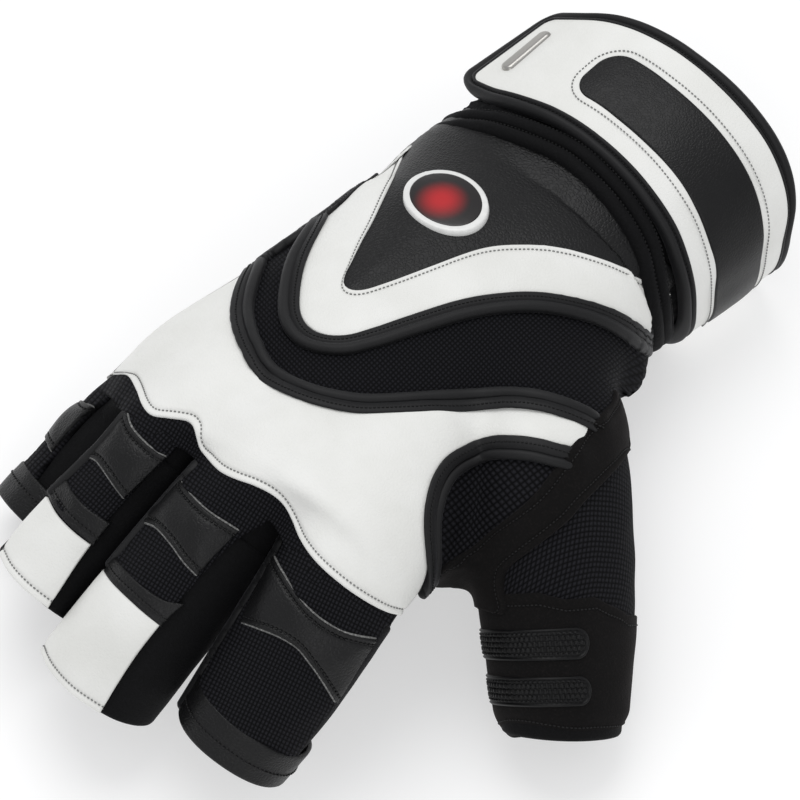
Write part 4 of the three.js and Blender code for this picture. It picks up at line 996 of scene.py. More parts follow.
suedeStrip = {
    "low": [(428, 580), (440, 562), (470, 547), (500, 523), (530, 497), (552, 468), (566, 447), (577, 432), (592, 420),
            (606, 404)],
    "high": [(510, 606), (505, 586), (508, 568), (525, 553), (546, 537), (567, 519), (583, 500), (604, 478),
             (620, 458),
             (632, 430)],
    "start": [(428, 580), (446, 585), (464, 592), (488, 601), (510, 606)], "end": [(606, 404), (620, 414), (632, 430)],
    "rows": 90, "columns": 44, "height": 1.5, "round": 0.7, "swell": 0.3, "fill": 0.3, "ripple": 0.25,
    "rippleSize": 14,
    "edges": ["low", "high"], "seams": [("low", 2.2), ("high", 2.2)], "dip": 0.3, "wrapStart": 10, "wrapEnd": 6,
    "humps": [((592, 420), 1.3, 2.6), ((570, 456), 1.2, 2.4)]}
strip = slabPiece("suede_strip_web", wrapped(sheetGrid(suedeStrip, 90, 44), suedeStrip), suedeStrip, suede,
                  ["suede_strip"])
sew("dark", *seamLine(strip, "low", 2.2, 1.0))
sew("dark", *seamLine(strip, "high", 2.2, 1.0))
print("back panels sewn")

# Bindings: a stitched flange and a round roll beside it


def bindingProfile(cut, side):
    # From the flange's outer edge over its flat top, into the roll's arc and back underneath
    arc = np.radians(np.linspace(165, -40, 12))
    flange, base = cut["flange"], cut["lift"]
    points = [(-flange, base - 0.2), (-flange - 0.1, base + 0.25), (-flange + 0.25, base + 0.5),
              (-flange * 0.5, base + 0.3),
              (-0.15, base + 0.5)]
    middle = cut["roll"] * 0.95
    points += [(middle + cut["roll"] * math.cos(a), cut["rollLift"] + cut["roll"] * math.sin(a)) for a in arc]
    points += [(middle, -0.4), (-flange * 0.5, -0.4)]
    return [(x * side, h) for x, h in points]


bindings = {
    "back_binding": {
        "line": [(300, 229), (284, 240), (267, 262), (254, 284), (247, 305), (246, 325), (253, 350), (270, 377),
                 (304, 396), (345, 406), (380, 408), (440, 404), (500, 401), (535, 404), (565, 413), (596, 427)],
        "side": 1, "flange": 2.6, "lift": 2.0, "roll": 1.35, "rollLift": 1.5, "lowEnd": 5.0},
    "band_binding": {
        "line": [(350, 194), (335, 212), (314, 242), (300, 268), (293, 298), (293, 322), (303, 339), (322, 348),
                 (348, 349), (378, 341), (410, 330), (460, 314), (500, 307), (540, 306), (585, 314), (615, 325),
                 (644, 344)],
        "side": -1, "flange": 2.1, "lift": 1.9, "roll": 1.4, "rollLift": 1.6, "wrapEnd": 6},
    "web_binding": {
        "line": [(421, 592), (428, 568), (428, 525), (431, 503), (438, 483), (450, 467), (470, 456), (498, 450),
                 (530, 452), (560, 460), (578, 466)],
        "side": -1, "flange": 2.7, "lift": 2.0, "roll": 1.2, "rollLift": 1.3, "lowEnd": 5.0},
}
for name, cut in bindings.items():
    line = onSheet(smoothLine(cut["line"], np.linspace(0, 1, 220)))
    if name != "web_binding":
        line = wrapped(line[:, None], {"wrapStart": 10} | {key: cut[key] for key in cut if key == "wrapEnd"})[:, 0]
    swept = sweepPiece(name + "_tape", line, formNormal(line), bindingProfile(cut, cut["side"]), tape,
                       [name],
                       lowEnd=cut.get("lowEnd", 0.0))
    seam = swept["line"] - swept["across"] * cut["side"] * cut["flange"] * 0.5
    seam = ontoForm(seam)
    seamNormal = formNormal(seam)
    sew("dark", seam + seamNormal * (cut["lift"] + 0.3), seamNormal, radius=0.2)
print("bindings swept")

# Fingers

fingerSheets = {
    "index": {
        "low": [(268, 512), (270, 540), (260, 575), (243, 612), (222, 643), (198, 672), (176, 702)],
        "high": [(396, 600), (378, 634), (358, 665), (335, 700), (311, 732), (290, 762)],
        "start": [(268, 512), (300, 530), (340, 570), (396, 600)],
        "end": [(176, 702), (200, 724), (240, 752), (290, 762)], "rows": 90, "columns": 60},
    "middle": {
        "low": [(190, 428), (182, 450), (164, 486), (142, 516), (118, 548), (96, 578)],
        "high": [(292, 500), (268, 520), (243, 535), (221, 555), (200, 578), (176, 606), (152, 634)],
        "start": [(190, 428), (215, 458), (250, 480), (292, 500)],
        "end": [(96, 578), (120, 606), (152, 634)], "rows": 80, "columns": 50},
    "ring": {
        "low": [(138, 396), (128, 416), (108, 440), (86, 462), (64, 486), (44, 508)],
        "high": [(205, 428), (186, 440), (169, 458), (148, 478), (128, 500), (108, 522), (86, 552)],
        "start": [(138, 396), (150, 416), (180, 424), (205, 428)],
        "end": [(44, 508), (62, 532), (86, 552)], "rows": 70, "columns": 40},
    "little": {
        "low": [(112, 376), (90, 392), (66, 412), (50, 433), (36, 452), (24, 468)],
        "high": [(138, 394), (118, 396), (98, 409), (76, 432), (56, 456), (38, 480)],
        "start": [(112, 376), (126, 384), (138, 394)],
        "end": [(24, 468), (30, 476), (38, 480)], "rows": 60, "columns": 26},
}
for name, cut in fingerSheets.items():
    cut |= {"height": 0.75, "round": 0.5, "swell": 0.3, "ripple": 0.15, "rippleSize": 10, "seed": len(name),
            "fill": 0.2}
    grid = sheetGrid(cut, cut["rows"], cut["columns"], [name])
    (x0, y0), (x1, y1) = cut["low"][0], cut["low"][-1]
    turn = math.degrees(math.atan2(y1 - y0, x0 - x1))
    slabPiece(name + "_back_mesh", grid, cut, ribbedMesh, names=[name], uv=sheetCloth(grid, turn))

pads = {
    "index": {
        "low": [(279, 556), (290, 577), (303, 597), (315, 610), (330, 621), (350, 630), (375, 634)],
        "high": [(245, 622), (262, 627), (281, 634), (299, 645), (311, 660), (321, 675), (334, 698)],
        "start": [(279, 556), (268, 578), (257, 598), (245, 622)],
        "end": [(375, 634), (362, 654), (347, 678), (334, 698)], "rows": 80, "columns": 52},
    "middle": {
        "low": [(182, 473), (190, 488), (200, 500), (215, 513), (241, 529)],
        "high": [(144, 524), (160, 528), (175, 544), (186, 560), (199, 574)],
        "start": [(182, 473), (172, 488), (158, 506), (144, 524)],
        "end": [(241, 529), (226, 544), (212, 559), (199, 574)], "rows": 64, "columns": 46},
    "ring": {
        "low": [(132, 415), (136, 428), (146, 440), (158, 450), (169, 456)],
        "high": [(92, 458), (101, 462), (110, 474), (118, 486), (127, 498)],
        "start": [(132, 415), (120, 430), (106, 445), (92, 458)],
        "end": [(169, 456), (155, 470), (141, 484), (127, 498)], "rows": 56, "columns": 40},
    "little": {
        "low": [(82, 399), (88, 404), (98, 409)], "high": [(51, 431), (50, 443), (56, 454)],
        "start": [(82, 399), (66, 413), (51, 431)], "end": [(98, 409), (76, 430), (56, 454)], "rows": 40,
        "columns": 34},
}
for name, cut in pads.items():
    cut |= {"height": 1.5, "round": 0.45, "swell": 0.5, "swellRun": 3, "fill": 0.6,
            "seams": [("low", 1.5), ("high", 1.5)],
            "dip": 0.35, "dipWidth": 0.45, "ripple": 0.3, "rippleSize": 11, "seed": 2 + len(name)}
    pad = slabPiece(name + "_pad_leather", sheetGrid(cut, cut["rows"], cut["columns"], [name]), cut, blackLeather,
                    [name + "_knuckle_pad"], names=[name])
    for edge in ("low", "high"):
        sew("dark", *seamLine(pad, edge, 1.5, 0.8), stitch=0.8, pitch=1.15, radius=0.2)
        rim, out = seamLine(pad, edge, 0.12, 0.3)
        sweepPiece(f"{name}_pad_{edge}_edge", rim, out, roundProfile(0.34, 8, -0.05, 0.8), rawEdge,
                   onto="flat", taper=0.8, gridStep=0.5)

tabs = {
    "middle": {
        "band": {
            "low": [(117, 549), (128, 565), (146, 583), (167, 597), (187, 601)],
            "high": [(104, 566), (116, 583), (137, 603), (163, 625)],
            "start": [(117, 549), (110, 557), (104, 566)], "end": [(187, 601), (175, 612), (163, 625)],
            "rows": 60, "columns": 26},
        "tab": {
            "low": [(107, 567), (120, 584), (141, 604), (163, 622)],
            "high": [(47, 653), (56, 671), (76, 692), (103, 710)],
            "start": [(107, 567), (88, 590), (68, 616), (47, 653)],
            "end": [(163, 622), (141, 650), (121, 680), (103, 710)],
            "rows": 60, "columns": 70}},
    "ring": {
        "band": {
            "low": [(72, 474), (76, 488), (90, 505), (114, 522)],
            "high": [(52, 496), (60, 511), (74, 527), (96, 545)],
            "start": [(72, 474), (62, 484), (52, 496)], "end": [(114, 522), (105, 533), (96, 545)],
            "rows": 50, "columns": 26},
        "tab": {
            "low": [(53, 498), (62, 514), (76, 529), (94, 543)],
            "high": [(4, 556), (13, 573), (29, 590), (50, 606)],
            "start": [(53, 498), (36, 516), (19, 536), (4, 556)], "end": [(94, 543), (80, 562), (65, 584), (50, 606)],
            "rows": 50, "columns": 56}},
}
for name, both in tabs.items():
    cut = both["band"] | {"height": 1.25, "round": 0.6, "swell": 0.3, "fill": 0.4, "ripple": 0.2, "rippleSize": 9,
                          "seams": [("high", 1.6)], "dip": 0.25}
    strap = slabPiece(name + "_tab_band", sheetGrid(cut, cut["rows"], cut["columns"], [name]), cut, blackLeather,
                      names=[name])
    sew("dark", *seamLine(strap, "high", 2.2, 0.6), stitch=0.8, pitch=1.15, radius=0.2)
    cut = both["tab"] | {"height": 1.5, "round": 0.5, "swell": 0.35, "swellRun": 4, "fill": 0.4, "ripple": 0.25,
                         "rippleSize": 15, "seams": [("high", 1.9)], "dip": 0.35, "seed": 4}
    tab = slabPiece(name + "_tab_leather", sheetGrid(cut, cut["rows"], cut["columns"], [name]), cut, whiteLeather,
                    [name + "_pull_tab"], names=[name])
    sew("grey", *seamLine(tab, "high", 1.9, 0.5))

endBands = {"index": {"start": 0.885, "end": 1.005, "thick": 1.2}, "little": {"start": 0.9, "end": 1.04, "thick": 1.2}}
for name, cut in endBands.items():
    profile = cuffProfile(cut["start"], cut["end"], cut["thick"], cut["thick"] + 0.1, tubeLength(name), steps=14)
    ringPiece(name + "_end_band_leather", lambda share, angle, grow, name=name: stallPoints(name, share, angle, grow),
              profile, 110, blackLeather, [name + "_end_band"], ripple=0.12, outside=0.8)
    for share, colour in ((0.955, "dark"),):
        angle = np.linspace(0, 360, 200)
        line = stallPoints(name, share, angle, cut["thick"])
        sew(colour, line, unit(stallPoints(name, share, angle, cut["thick"] + 1) - line), stitch=0.8, pitch=1.15,
            radius=0.2)

pipings = {
    "index": {"line": [(268, 522), (264, 551), (252, 594), (238, 622), (214, 651), (193, 677), (177, 703)],
              "half": 2.0},
    "middle": {"line": [(187, 447), (171, 479), (153, 509), (129, 538), (107, 565)], "half": 1.3},
    "ring": {"line": [(131, 415), (107, 444), (87, 464), (66, 485), (54, 497)], "half": 1.0},
}
for name, cut in pipings.items():
    line = onSheet(smoothLine(cut["line"], np.linspace(0, 1, 80)), [name])
    half = cut["half"]
    profile = [(-half, -0.4), (-half * 1.05, 0.8), (-half * 0.6, 1.8), (0, 2.15), (half * 0.6, 1.8),
               (half * 1.05, 0.8),
               (half, -0.4)]
    sweepPiece(name + "_piping", line, formNormal(line, [name]), profile[::-1], tape, names=[name])
print("fingers sewn")

# Thumb

thumbMesh = {
    "low": [(-75, 0.28), (-75, 0.78)], "high": [(205, 0.45), (205, 0.78)],
    "start": [(-75, 0.28), (60, 0.3), (205, 0.45)],
    "end": [(-75, 0.78), (205, 0.78)], "rows": 100, "columns": 100, "height": 0.45, "round": 0.4, "fill": 0.2,
    "ripple": 0.12, "rippleSize": 13, "seed": 9}


def tubeGrid(name, cut, names=everyForm):  # a patch cut from (angle, share) lines and laid on the form
    along, across = gathered(cut["rows"]), gathered(cut["columns"])
    flat = coonsGrid(smoothLine(cut["low"], along), smoothLine(cut["high"], along),
                     smoothLine(cut["start"], across), smoothLine(cut["end"], across))
    return ontoForm(tubePoints(tubes[name], flat[..., 1], flat[..., 0]), names)


slabPiece("thumb_back_mesh", tubeGrid("thumb", thumbMesh), thumbMesh, squareMesh)

thumbCap = {"angles": [-180, -60, 0, 66, 75, 87, 96, 120, 141, 165, 200, 240, 300],
            "starts": [0.7, 0.72, 0.76, 0.75, 0.735, 0.72, 0.70, 0.70, 0.68, 0.68, 0.68, 0.7, 0.7], "thick": 0.95,
            "tuck": 2.2}


def thumbCapPoints(share, angle, grow):  # shares run from the cap's own edge, which is higher on the back than below
    edge = np.interp(np.mod(angle + 60, 360) - 60, thumbCap["angles"], thumbCap["starts"])
    drawn = thumbCap["tuck"] * np.clip((share - 0.8) / 0.2, 0, 1.2) ** 2  # its end draws in
    corners = 0.022 * np.abs(np.cos(np.radians(angle))) ** 4 * np.clip((share - 0.6) / 0.4, 0, 1)
    return tubePoints(tubes["thumb"], edge + (1.0 - edge) * share - corners, angle, grow - drawn)


profile = cuffProfile(0.0, 1.01, thumbCap["thick"], thumbCap["thick"] + 0.15, tubeLength("thumb") * 0.3, steps=40)
ringPiece("thumb_wrap_suede", thumbCapPoints, profile, 130, suede, ["thumb_wrap"], ripple=0.3,
          rippleSize=12, outside=0.8)
for share in (0.07, 0.93):
    angle = np.linspace(0, 360, 220)
    line = thumbCapPoints(np.full(220, share), angle, np.full(220, thumbCap["thick"]))
    sew("dark", line, unit(thumbCapPoints(np.full(220, share), angle, np.full(220, 2.0)) - line))

grips = {
    "grip_upper": {"share": 0.795, "from": 103, "to": 238, "half": 3.4}, "grip_lower": {"share": 0.897, "from": 103,
                                                                                    "to": 238, "half": 3.2}}
gripLook = {"cell": 1.35, "height": 0.75, "rim": 0.8, "rimHeight": 0.45, "wall": 0.12, "rows": 150, "columns": 56}


def hexCells(u, v, cell):
    # Distance inside a honeycomb: the smaller hexagon distance to the centres of two interleaved grids
    pitch = np.array([cell, cell * math.sqrt(3)])
    best = None
    for shift in (0.0, 0.5):
        gap = np.abs(((np.stack([u, v], -1) / pitch + shift) % 1 - 0.5) * pitch)
        hexagon = np.maximum(gap[..., 0], gap[..., 0] / 2 + gap[..., 1] * math.sqrt(3) / 2)
        best = hexagon if best is None else np.minimum(best, hexagon)
    return best


for name, cut in grips.items():
    # A stadium on the thumb: rows run round the thumb, columns across, squeezed to half circles at both ends
    length = tubeLength("thumb")
    girth = 0.5 * (forms["thumb"]["width"] + forms["thumb"]["thickness"]) / 2
    halfLong = math.radians(cut["to"] - cut["from"]) / 2 * girth
    s = gathered(gripLook["rows"], 0.3)[:, None] * 2 - 1
    r = np.linspace(-1, 1, gripLook["columns"])[None]
    x = s * halfLong
    ends = np.clip((np.abs(x) - (halfLong - cut["half"])) / cut["half"], 0, 0.999)
    y = r * cut["half"] * np.sqrt(1 - ends**2)
    edge = np.where(np.abs(x) > halfLong - cut["half"],
                    cut["half"] - np.hypot(np.abs(x) - (halfLong - cut["half"]), y), cut["half"] - np.abs(y))
    edge = np.maximum(edge, 0)
    angle = (cut["from"] + cut["to"]) / 2 + np.degrees(x / girth) + 0 * y
    base = tubePoints(tubes["thumb"], cut["share"] + y / length, angle, thumbCap["thick"])
    normal = unit(tubePoints(tubes["thumb"], cut["share"] + y / length, angle, thumbCap["thick"] + 1) - base)
    cells = np.clip((gripLook["cell"] / 2 - gripLook["wall"] - hexCells(x + 0 * y, y, gripLook["cell"])) / 0.16, 0, 1)
    rim = np.exp(-(((edge - gripLook["rim"] / 2) / (gripLook["rim"] / 2.4)) ** 2))
    inside = np.clip((edge - gripLook["rim"]) / 0.3, 0, 1)
    high = gripLook["rimHeight"] * rim + inside * (0.1 + 0.42 * cells)
    cut |= {"height": 0.0, "sink": 0.4, "fill": 0.8}
    slabPiece(name + "_silicone", base + normal * high[..., None], cut, silicone, [name], normal=normal,
              runs={"low": edge, "high": edge, "start": edge, "end": edge}, uv=np.stack([x + 0 * y, y], -1))
print("thumb sewn")

# Badge

badge = {"place": (446, 208), "length": 21.5, "breadth": 17.0, "turn": -38, "rim": 1.5, "thick": 1.25, "field": 0.45,
         "lift": 1.2}


def ovalGrid(length, breadth, rows, columns):
    # A square grid pressed to an ellipse: each point keeps its direction, its reach is the larger of its two sides
    a, b = np.meshgrid(np.linspace(-1, 1, rows), np.linspace(-1, 1, columns), indexing="ij")
    reach = np.maximum(np.abs(a), np.abs(b))
    turned = np.hypot(a, b)
    scale = np.where(turned > 0, reach / np.maximum(turned, 1e-9), 0)
    return a * scale * length / 2, b * scale * breadth / 2, reach


def badgePiece():
    centrePoint = onSheet(np.array([badge["place"]], float))
    out = formNormal(centrePoint)[0]
    across = unit(np.cross(out, np.cross(sheetRight, out)))
    up = np.cross(out, across)
    turned = math.radians(badge["turn"])
    long = up * math.cos(turned) + across * math.sin(turned)
    short = np.cross(long, out)
    u, v, reach = ovalGrid(badge["length"], badge["breadth"], 61, 61)
    grid = ontoForm(centrePoint[0] + long * u[..., None] + short * v[..., None])
    # The disc lies on the hand's surface, and inside its rim it is dished in by 0.35 mm
    flatNormal = formNormal(grid)
    away = (1 - reach) * (badge["breadth"] / 2)
    swell = 1.1 * (1 - np.exp(-7 / 7)) + badge["lift"]
    runs = {edge: away for edge in ("low", "high", "start", "end")}
    cut = {"height": badge["thick"], "round": 0.5, "lift": swell - 0.15, "sink": 0.9, "fill": 0.9}
    rim = badge["rim"]
    dish = np.clip((away - rim) / 0.35, 0, 1)
    grid = grid - flatNormal * (dish * 0.35)[..., None]
    slabPiece("badge_rim_rubber", grid, cut, badgeRim, ["badge_rim"], normal=flatNormal, runs=runs,
              uv=np.stack([u, v], -1))
    shrink = 1 - rim * 2 / (badge["breadth"] + badge["length"]) * 2
    u, v = u * shrink, v * shrink
    grid = ontoForm(centrePoint[0] + long * u[..., None] + short * v[..., None])
    away = (1 - reach) * (badge["breadth"] / 2) * shrink
    runs = {edge: away for edge in ("low", "high", "start", "end")}
    cut = {"height": 0.3, "round": 0.3, "swell": 0.25, "lift": swell - 0.15 + badge["thick"] - 0.3, "sink": 0.3,
           "fill": 0.9}
    slabPiece("badge_field_rubber", grid, cut, badgeField, ["badge_field"], normal=formNormal(grid),
              runs=runs, uv=np.stack([u, v], -1))


badgePiece()

# Wrist: sleeve, collar rolls and strap

sleeve = {"start": 45.4, "end": 80.2, "wall": 2.2, "grow": 0.0}
profile = [(s, g) for s, g in cuffProfile(sleeve["start"], sleeve["end"], sleeve["grow"], sleeve["wall"], 1.0,
                                          steps=60)]


def sleevePoints(y, angle, grow):  # the loop pile swells between the rolls and the strap's free end
    turned = np.mod(angle, 360)
    swell = 2.2 * np.exp(-(((turned - 150) / 38) ** 2)) * np.exp(-(((y - 51.0) / 4) ** 2))
    return cuffPoints(y, angle, grow + np.where(grow > -1, swell, 0))


ringPiece("wrist_sleeve_pile", sleevePoints, profile, 220, pile, ["wrist_sleeve"], ripple=0.35,
          rippleSize=2.2, outside=-1.0)

rolls = {"collar_roll_lower": {"y": 46.3, "grow": 1.75, "radius": 1.75, "seed": 11},
         "collar_roll_upper": {"y": 49.7, "grow": 1.85, "radius": 1.7, "seed": 12}}


def rollPoints(y, angle, grow):  # both rolls keep their width, so they take the first ring's skew
    closer = 1.0 * np.exp(-((np.mod(angle + 180, 360) - 180 + 20) / 45) ** 2) * (y > 48.1)
    return wristPoints(y + skewAt(44.6, angle) - closer, angle, grow)


for name, cut in rolls.items():
    arc = np.radians(np.arange(0, 360, 18))
    profile = [(cut["y"] + cut["radius"] * 0.95 * math.cos(a), cut["grow"] + cut["radius"] * math.sin(a)) for a in arc]
    ringPiece(name + "_tape", rollPoints, profile, 240, knit, [name], ripple=0.12, rippleSize=10,
              outside=0.5, seed=cut["seed"])
    angle = np.linspace(0, 360, 260)
    line = rollPoints(cut["y"] + 1.45, angle, cut["grow"] + 0.95)
    sew("dark", line, unit(rollPoints(cut["y"] + 1.8, angle, cut["grow"] + 2.2) - line), radius=0.16)
print("wrist rolls made")

strap = {"start": 51.7, "width": 30.6, "hiddenEnd": -130, "freeEnd": 161, "liftSpan": 28, "lift": 5.0,
         "liftHigh": 0.35, "corner": 5.5,
         "rim": 3.0, "backing": 1.8, "face": 1.55, "insetWidth": 13.0, "insetDown": 0.6, "insetFrom": 108,
         "insetTo": -34, "insetCorner": 5.0,
         "bar": {"angle": 142, "length": 14.0, "breadth": 3.0, "thick": 0.8}}
wristRun = {"angle": np.linspace(-240, 260, 3001)}
ringLine = wristPoints(0.0, wristRun["angle"], 2.2)
wristRun["run"] = runsOf(ringLine)


def arcOf(angle):  # distance round the wrist, in mm, at an angle
    return np.interp(angle, wristRun["angle"], wristRun["run"])


def strapPoints(run, y, height):
    # A point of the strap: its arc length gives the angle, and near the free end the strap stands off the wrist
    angle = np.interp(run, wristRun["run"], wristRun["angle"])
    lift = strap["lift"] * np.clip((angle - strap["freeEnd"] + strap["liftSpan"]) / strap["liftSpan"], 0, 1.2) ** 2
    lift = lift * (1 - (1 - strap["liftHigh"]) * np.clip((y - strap["start"]) / strap["width"], 0, 1))
    return cuffPoints(y, angle, 0.3 + lift + height)


def roundedGrid(left, right, low, high, corner, rows, columns):
    # A rectangle in (run, y) whose ends draw in along quarter circles
    run = left + (right - left) * gathered(rows, 0.35)[:, None] + np.zeros((1, columns))
    share = np.linspace(-1, 1, columns)[None]
    half = (high - low) / 2
    ends = np.clip(np.stack([left + corner - run, run - (right - corner)]).max(0) / corner, 0, 1)
    reach = half - corner * (1 - np.sqrt(1 - np.minimum(ends, 0.9999) ** 2))
    y = (low + high) / 2 + share * reach
    dx = np.minimum(run - left, right - run)
    dy = half - np.abs(y - (low + high) / 2)
    cornerAway = corner - np.hypot(np.maximum(corner - dx, 0), np.maximum(corner - dy, 0))
    away = np.where((dx < corner) & (dy < corner), cornerAway, np.minimum(dx, dy))
    return run, y, np.maximum(away, 0)


def strapLayer(name, box, cut, material, replaces):
    run, y, away = roundedGrid(*box, cut["corner"], cut["rows"], cut["columns"])
    base = strapPoints(run, y, cut["base"])
    normal = unit(strapPoints(run, y, cut["base"] + 1) - base)
    runs = {edge: away for edge in ("low", "high", "start", "end")}
    return slabPiece(name, base, cut, material, replaces, normal=normal, runs=runs,
                     uv=np.stack([y, run], -1))


low, high = strap["start"], strap["start"] + strap["width"]
left, right = arcOf(strap["hiddenEnd"]), arcOf(strap["freeEnd"])
strapLayer("strap_backing_pile", (left + 1, right - 1, low + 1.0, high - 1.0), {
    "corner": strap["corner"] - 1, "rows": 240, "columns": 40, "base": 0.3, "height": 1.6, "round": 1.0, "sink": 0.3,
    "fill": 0.4, "ripple": 0.12, "rippleSize": 3.0}, pile, ["strap_backing"])
inset = {"left": arcOf(strap["insetTo"]), "right": arcOf(strap["insetFrom"]), "half": strap["insetWidth"] / 2}
middleY = (low + high) / 2
inset["y"] = middleY - strap["insetDown"]
face = {"corner": strap["corner"] - 1.6, "rows": 420, "columns": 84, "base": 1.8, "height": 1.75, "round": 0.7,
        "sink": 0.6, "fill": 0.5, "swell": 0.35, "swellRun": 4, "ripple": 0.25, "rippleSize": 22, "seed": 13}
layer = strapLayer("strap_face_leather", (left + 2.2, right - 2.2, low + 2.2, high - 2.2), face, whiteLeather,
                   ["strap_face"])


def loopLine(left, right, low, high, corner, count):
    # A rectangle in (run, y) with quarter circles at its corners, as evenly spaced points
    turn = np.linspace(-math.pi / 2, 0, 24)
    middles = [(right - corner, low + corner), (right - corner, high - corner), (left + corner, high - corner),
               (left + corner, low + corner)]
    line = np.concatenate([np.stack([x + corner * np.cos(turn + k * math.pi / 2), y + corner
                                     * np.sin(turn + k * math.pi / 2)],
                                    1) for k, (x, y) in enumerate(middles)])
    return resampled(np.concatenate([line, line[:1]]), np.linspace(0, 1, count + 1))[:-1]


def strapSew(colour, x, y, height, **look):
    line = strapPoints(x, y, height)
    sew(colour, line, unit(strapPoints(x, y, height + 1) - line), **look)


insetLift = face["base"] + face["height"] + 0.2
strapLayer("strap_inset_leather",
           (inset["left"], inset["right"], inset["y"] - inset["half"], inset["y"] + inset["half"]), {
    "corner": strap["insetCorner"], "rows": 260, "columns": 50, "base": insetLift, "height": 0.35, "round": 0.35,
    "swell": 0.3, "swellRun": 3, "sink": 0.6, "fill": 0.3, "ripple": 0.12, "rippleSize": 16}, pebbledLeather,
    ["strap_inset"])
x, y = loopLine(inset["left"] - 1.3, inset["right"] + 1.3, inset["y"] - inset["half"] - 1.3, inset["y"]
                + inset["half"] + 1.3,
                strap["insetCorner"] + 1.3, 700).T
strapSew("grey", np.append(x, x[0]), np.append(y, y[0]), insetLift + 0.12)


def strapRim():
    # The binding's profile carried round a rounded rectangle
    inward = strap["rim"] / 2
    line = loopLine(left + inward, right - inward, low + inward, high - inward, strap["corner"] - inward, 900)
    length = runsOf(np.concatenate([line, line[:1]]))[-1]
    ahead = unit(np.roll(line, -1, 0) - np.roll(line, 1, 0))
    outward = np.stack([ahead[:, 1], -ahead[:, 0]], 1)
    arc = np.radians(np.linspace(-70, 150, 12))
    profile = [(0.35 + 1.15 * math.cos(a), 2.0 + 1.85 * math.sin(a)) for a in arc]
    profile += [(-0.75, 3.15), (-1.0, 3.75), (-1.35, 3.8), (-1.6, 3.55), (-1.65, 2.6), (-1.6, 0.6), (-0.4, 0.05)]
    profile = np.array(profile)
    spread = line[:, None] + outward[:, None] * profile[None, :, :1]
    points = strapPoints(spread[..., 0], spread[..., 1], profile[None, :, 1])
    quads, ci, cj = gridFaces(len(line), len(profile), wrapRows=True, wrapColumns=True)
    around = runsOf(np.concatenate([profile, profile[:1]]))
    uvs = np.stack([around[cj], ci * length / len(line)], -1)
    meshPiece("strap_rim_tape", points.reshape(-1, 3), [quads], [uvs], tape, ["strap_rim"])
    seam = line - outward * 0.62
    seam = np.concatenate([seam, seam[:1]])
    strapSew("dark", seam[:, 0], seam[:, 1], 3.2, radius=0.16)


strapRim()
bar = strap["bar"]
barRun = arcOf(bar["angle"])
half, short = bar["length"] / 2, bar["breadth"] / 2
u = (np.linspace(-1, 1, 60) * half)[:, None] + np.zeros((1, 16))
v = np.zeros((60, 1)) + (np.linspace(-1, 1, 16) * short)[None]
ends = np.clip((np.abs(u) - (half - short)) / short, 0, 0.999)
v = v * np.sqrt(1 - ends**2)
edge = np.maximum(np.where(np.abs(u) > half - short, short - np.hypot(np.abs(u) - (half - short), v),
                           short - np.abs(v)), 0)
base = strapPoints(barRun + v, middleY + u, insetLift + 0.05)
normal = unit(strapPoints(barRun + v, middleY + u, insetLift + 1) - base)
slabPiece("strap_bar_steel", base, {"height": bar["thick"], "round": 0.6, "sink": 0.5}, steel,
          ["strap_bar"],
          normal=normal, runs={key: edge for key in ("low", "high", "start", "end")}, uv=np.stack([v, u], -1))
print("strap wound")

# Palm side, which the sheet doesn't show: outlines as shares of the hand's breadth and length


def palmGrid(lines, rows, columns):
    along, across = gathered(rows), gathered(columns)
    flat = coonsGrid(smoothLine(lines["low"], along), smoothLine(lines["high"], along),
                     smoothLine(lines["start"], across), smoothLine(lines["end"], across))
    origins = np.concatenate([flat * [hand["breadth"], hand["length"]], np.full(flat.shape[:2] + (1,), -30.0)], -1)
    return castOnForm(origins, np.array([0, 0, 1.0]), ["body", "thumb", "web"])


palm = {
    "low": [(-0.3, 0.2), (-0.32, 0.1), (-0.33, 0.0), (-0.34, -0.12), (-0.24, -0.255)],
    "high": [(0.44, 0.2), (0.49, 0.08), (0.53, -0.02), (0.52, -0.15), (0.42, -0.255)],
    "start": [(-0.3, 0.2), (0.07, 0.2), (0.44, 0.2)], "end": [(-0.24, -0.255), (0.1, -0.262), (0.42, -0.255)],
    "rows": 110, "columns": 90, "height": 0.9, "round": 0.5, "fill": 0.2, "ripple": 0.4, "rippleSize": 26, "seed": 15,
    "edges": ["low", "high", "end"], "seams": [("low", 2.0), ("high", 2.0)], "dip": 0.3}
layer = slabPiece("palm_panel_suede", palmGrid(palm, 110, 90), palm, suede, ["palm_panel"])
for edge in ("low", "high"):
    sew("dark", *seamLine(layer, edge, 2.0, 1.0))
palmPads = {
    "palm_pad_heel": {
        "low": [(-0.16, 0.14), (-0.19, 0.05), (-0.2, -0.04)], "high": [(0.02, 0.16), (0.03, 0.06), (0.02, -0.04)],
        "start": [(-0.16, 0.14), (-0.07, 0.16), (0.02, 0.16)], "end": [(-0.2, -0.04), (-0.09, -0.055), (0.02, -0.04)]},
    "palm_pad_thumb": {
        "low": [(0.12, 0.15), (0.11, 0.05), (0.12, -0.04)], "high": [(0.34, 0.12), (0.37, 0.04), (0.36, -0.02)],
        "start": [(0.12, 0.15), (0.23, 0.15), (0.34, 0.12)], "end": [(0.12, -0.04), (0.24, -0.045), (0.36, -0.02)]},
    "palm_pad_fingers": {
        "low": [(-0.22, -0.09), (-0.225, -0.15), (-0.2, -0.2)], "high": [(0.38, -0.09), (0.4, -0.15), (0.38, -0.2)],
        "start": [(-0.22, -0.09), (0.08, -0.08), (0.38, -0.09)], "end": [(-0.2, -0.2), (0.09, -0.21), (0.38, -0.2)]},
}
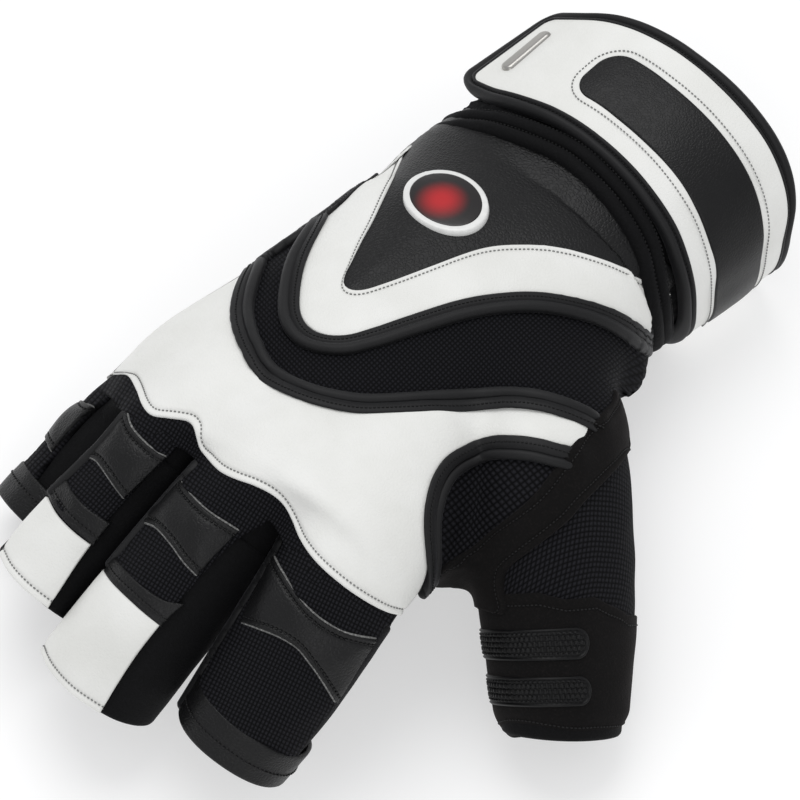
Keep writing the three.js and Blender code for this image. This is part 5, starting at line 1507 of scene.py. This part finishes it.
for name, cut in palmPads.items():
    cut |= {"height": 1.7, "round": 1.2, "swell": 1.0, "swellRun": 4, "fill": 0.7, "seams": [
        (edge, 1.7) for edge in ("low", "high", "start", "end")], "dip": 0.5, "dipWidth": 0.6, "ripple": 0.25}
    pad = slabPiece(name + "_suede", palmGrid(cut, 60, 60), cut, suede, [name])
    for edge in ("low", "high", "start", "end"):
        sew("grey", *seamLine(pad, edge, 1.7, 1.7))

sewThreads("grey", greyThread)
sewThreads("dark", darkThread)
print("threads sewn")

# Floor, light and camera

studio = {"floor": 6.0, "distance": 8.0, "sensor": 36.0, "frame": 800, "world": 0.7, "sky": "#f4f5f7"}
half = studio["floor"]
floorMesh = bpy.data.meshes.new("studioFloor")
floorMesh.from_pydata([(-half, -half, 0), (half, -half, 0), (half, half, 0), (-half, half, 0)], [], [(0, 1, 2, 3)])
floor = bpy.data.objects.new("studioFloor", floorMesh)
bpy.context.scene.collection.objects.link(floor)
paper, paperShader = newFinish("studio paper, seamless and matt", "#c4c4c4", 0.9, Specular_IOR_Level=0.1,
                              Emission_Strength=0.5)
paperShader.inputs["Emission Color"].default_value = hexColour("#ffffff")
floorMesh.materials.append(paper)

world = bpy.data.worlds.new("studioSky")
bpy.context.scene.world = world
world.use_nodes = True
world.node_tree.nodes["Background"].inputs["Color"].default_value = hexColour(studio["sky"])
world.node_tree.nodes["Background"].inputs["Strength"].default_value = studio["world"]

lights = {
    "softboxAbove": {"place": (-0.35, 0.25, 1.1), "size": 0.9, "power": 5.6},
    "softboxFront": {"place": (0.7, -0.7, 0.9), "size": 0.7, "power": 2.3},
}
for name, look in lights.items():
    lamp = bpy.data.lights.new(name, "AREA")
    lamp.shape, lamp.size, lamp.energy = "DISK", look["size"], look["power"]
    holder = bpy.data.objects.new(name, lamp)
    bpy.context.scene.collection.objects.link(holder)
    spot = np.array(look["place"])
    back = unit(spot - np.array([0, 0, 0.03]))
    right = unit(np.cross([0, 0, 1.0], back))
    turned = np.eye(4)
    turned[:3, 0], turned[:3, 1], turned[:3, 2], turned[:3, 3] = right, np.cross(back, right), back, spot
    holder.matrix_world = Matrix(turned.tolist())

camera = bpy.data.objects.new("camera", bpy.data.cameras.new("camera"))
bpy.context.scene.collection.objects.link(camera)
camera.data.sensor_width = studio["sensor"]
camera.data.lens = studio["sensor"] * studio["distance"] / (studio["frame"] / sheet["units"] / 1000)
camera.data.clip_end = 50
place = np.eye(4)
place[:3, 0], place[:3, 1], place[:3, 2] = sheetRight, sheetUp, sheetBack
place[:3, 3] = gloveShift / 1000 + sheetBack * studio["distance"]
camera.matrix_world = Matrix(place.tolist())
bpy.context.scene.camera = camera
bpy.context.scene.view_settings.view_transform = "Standard"
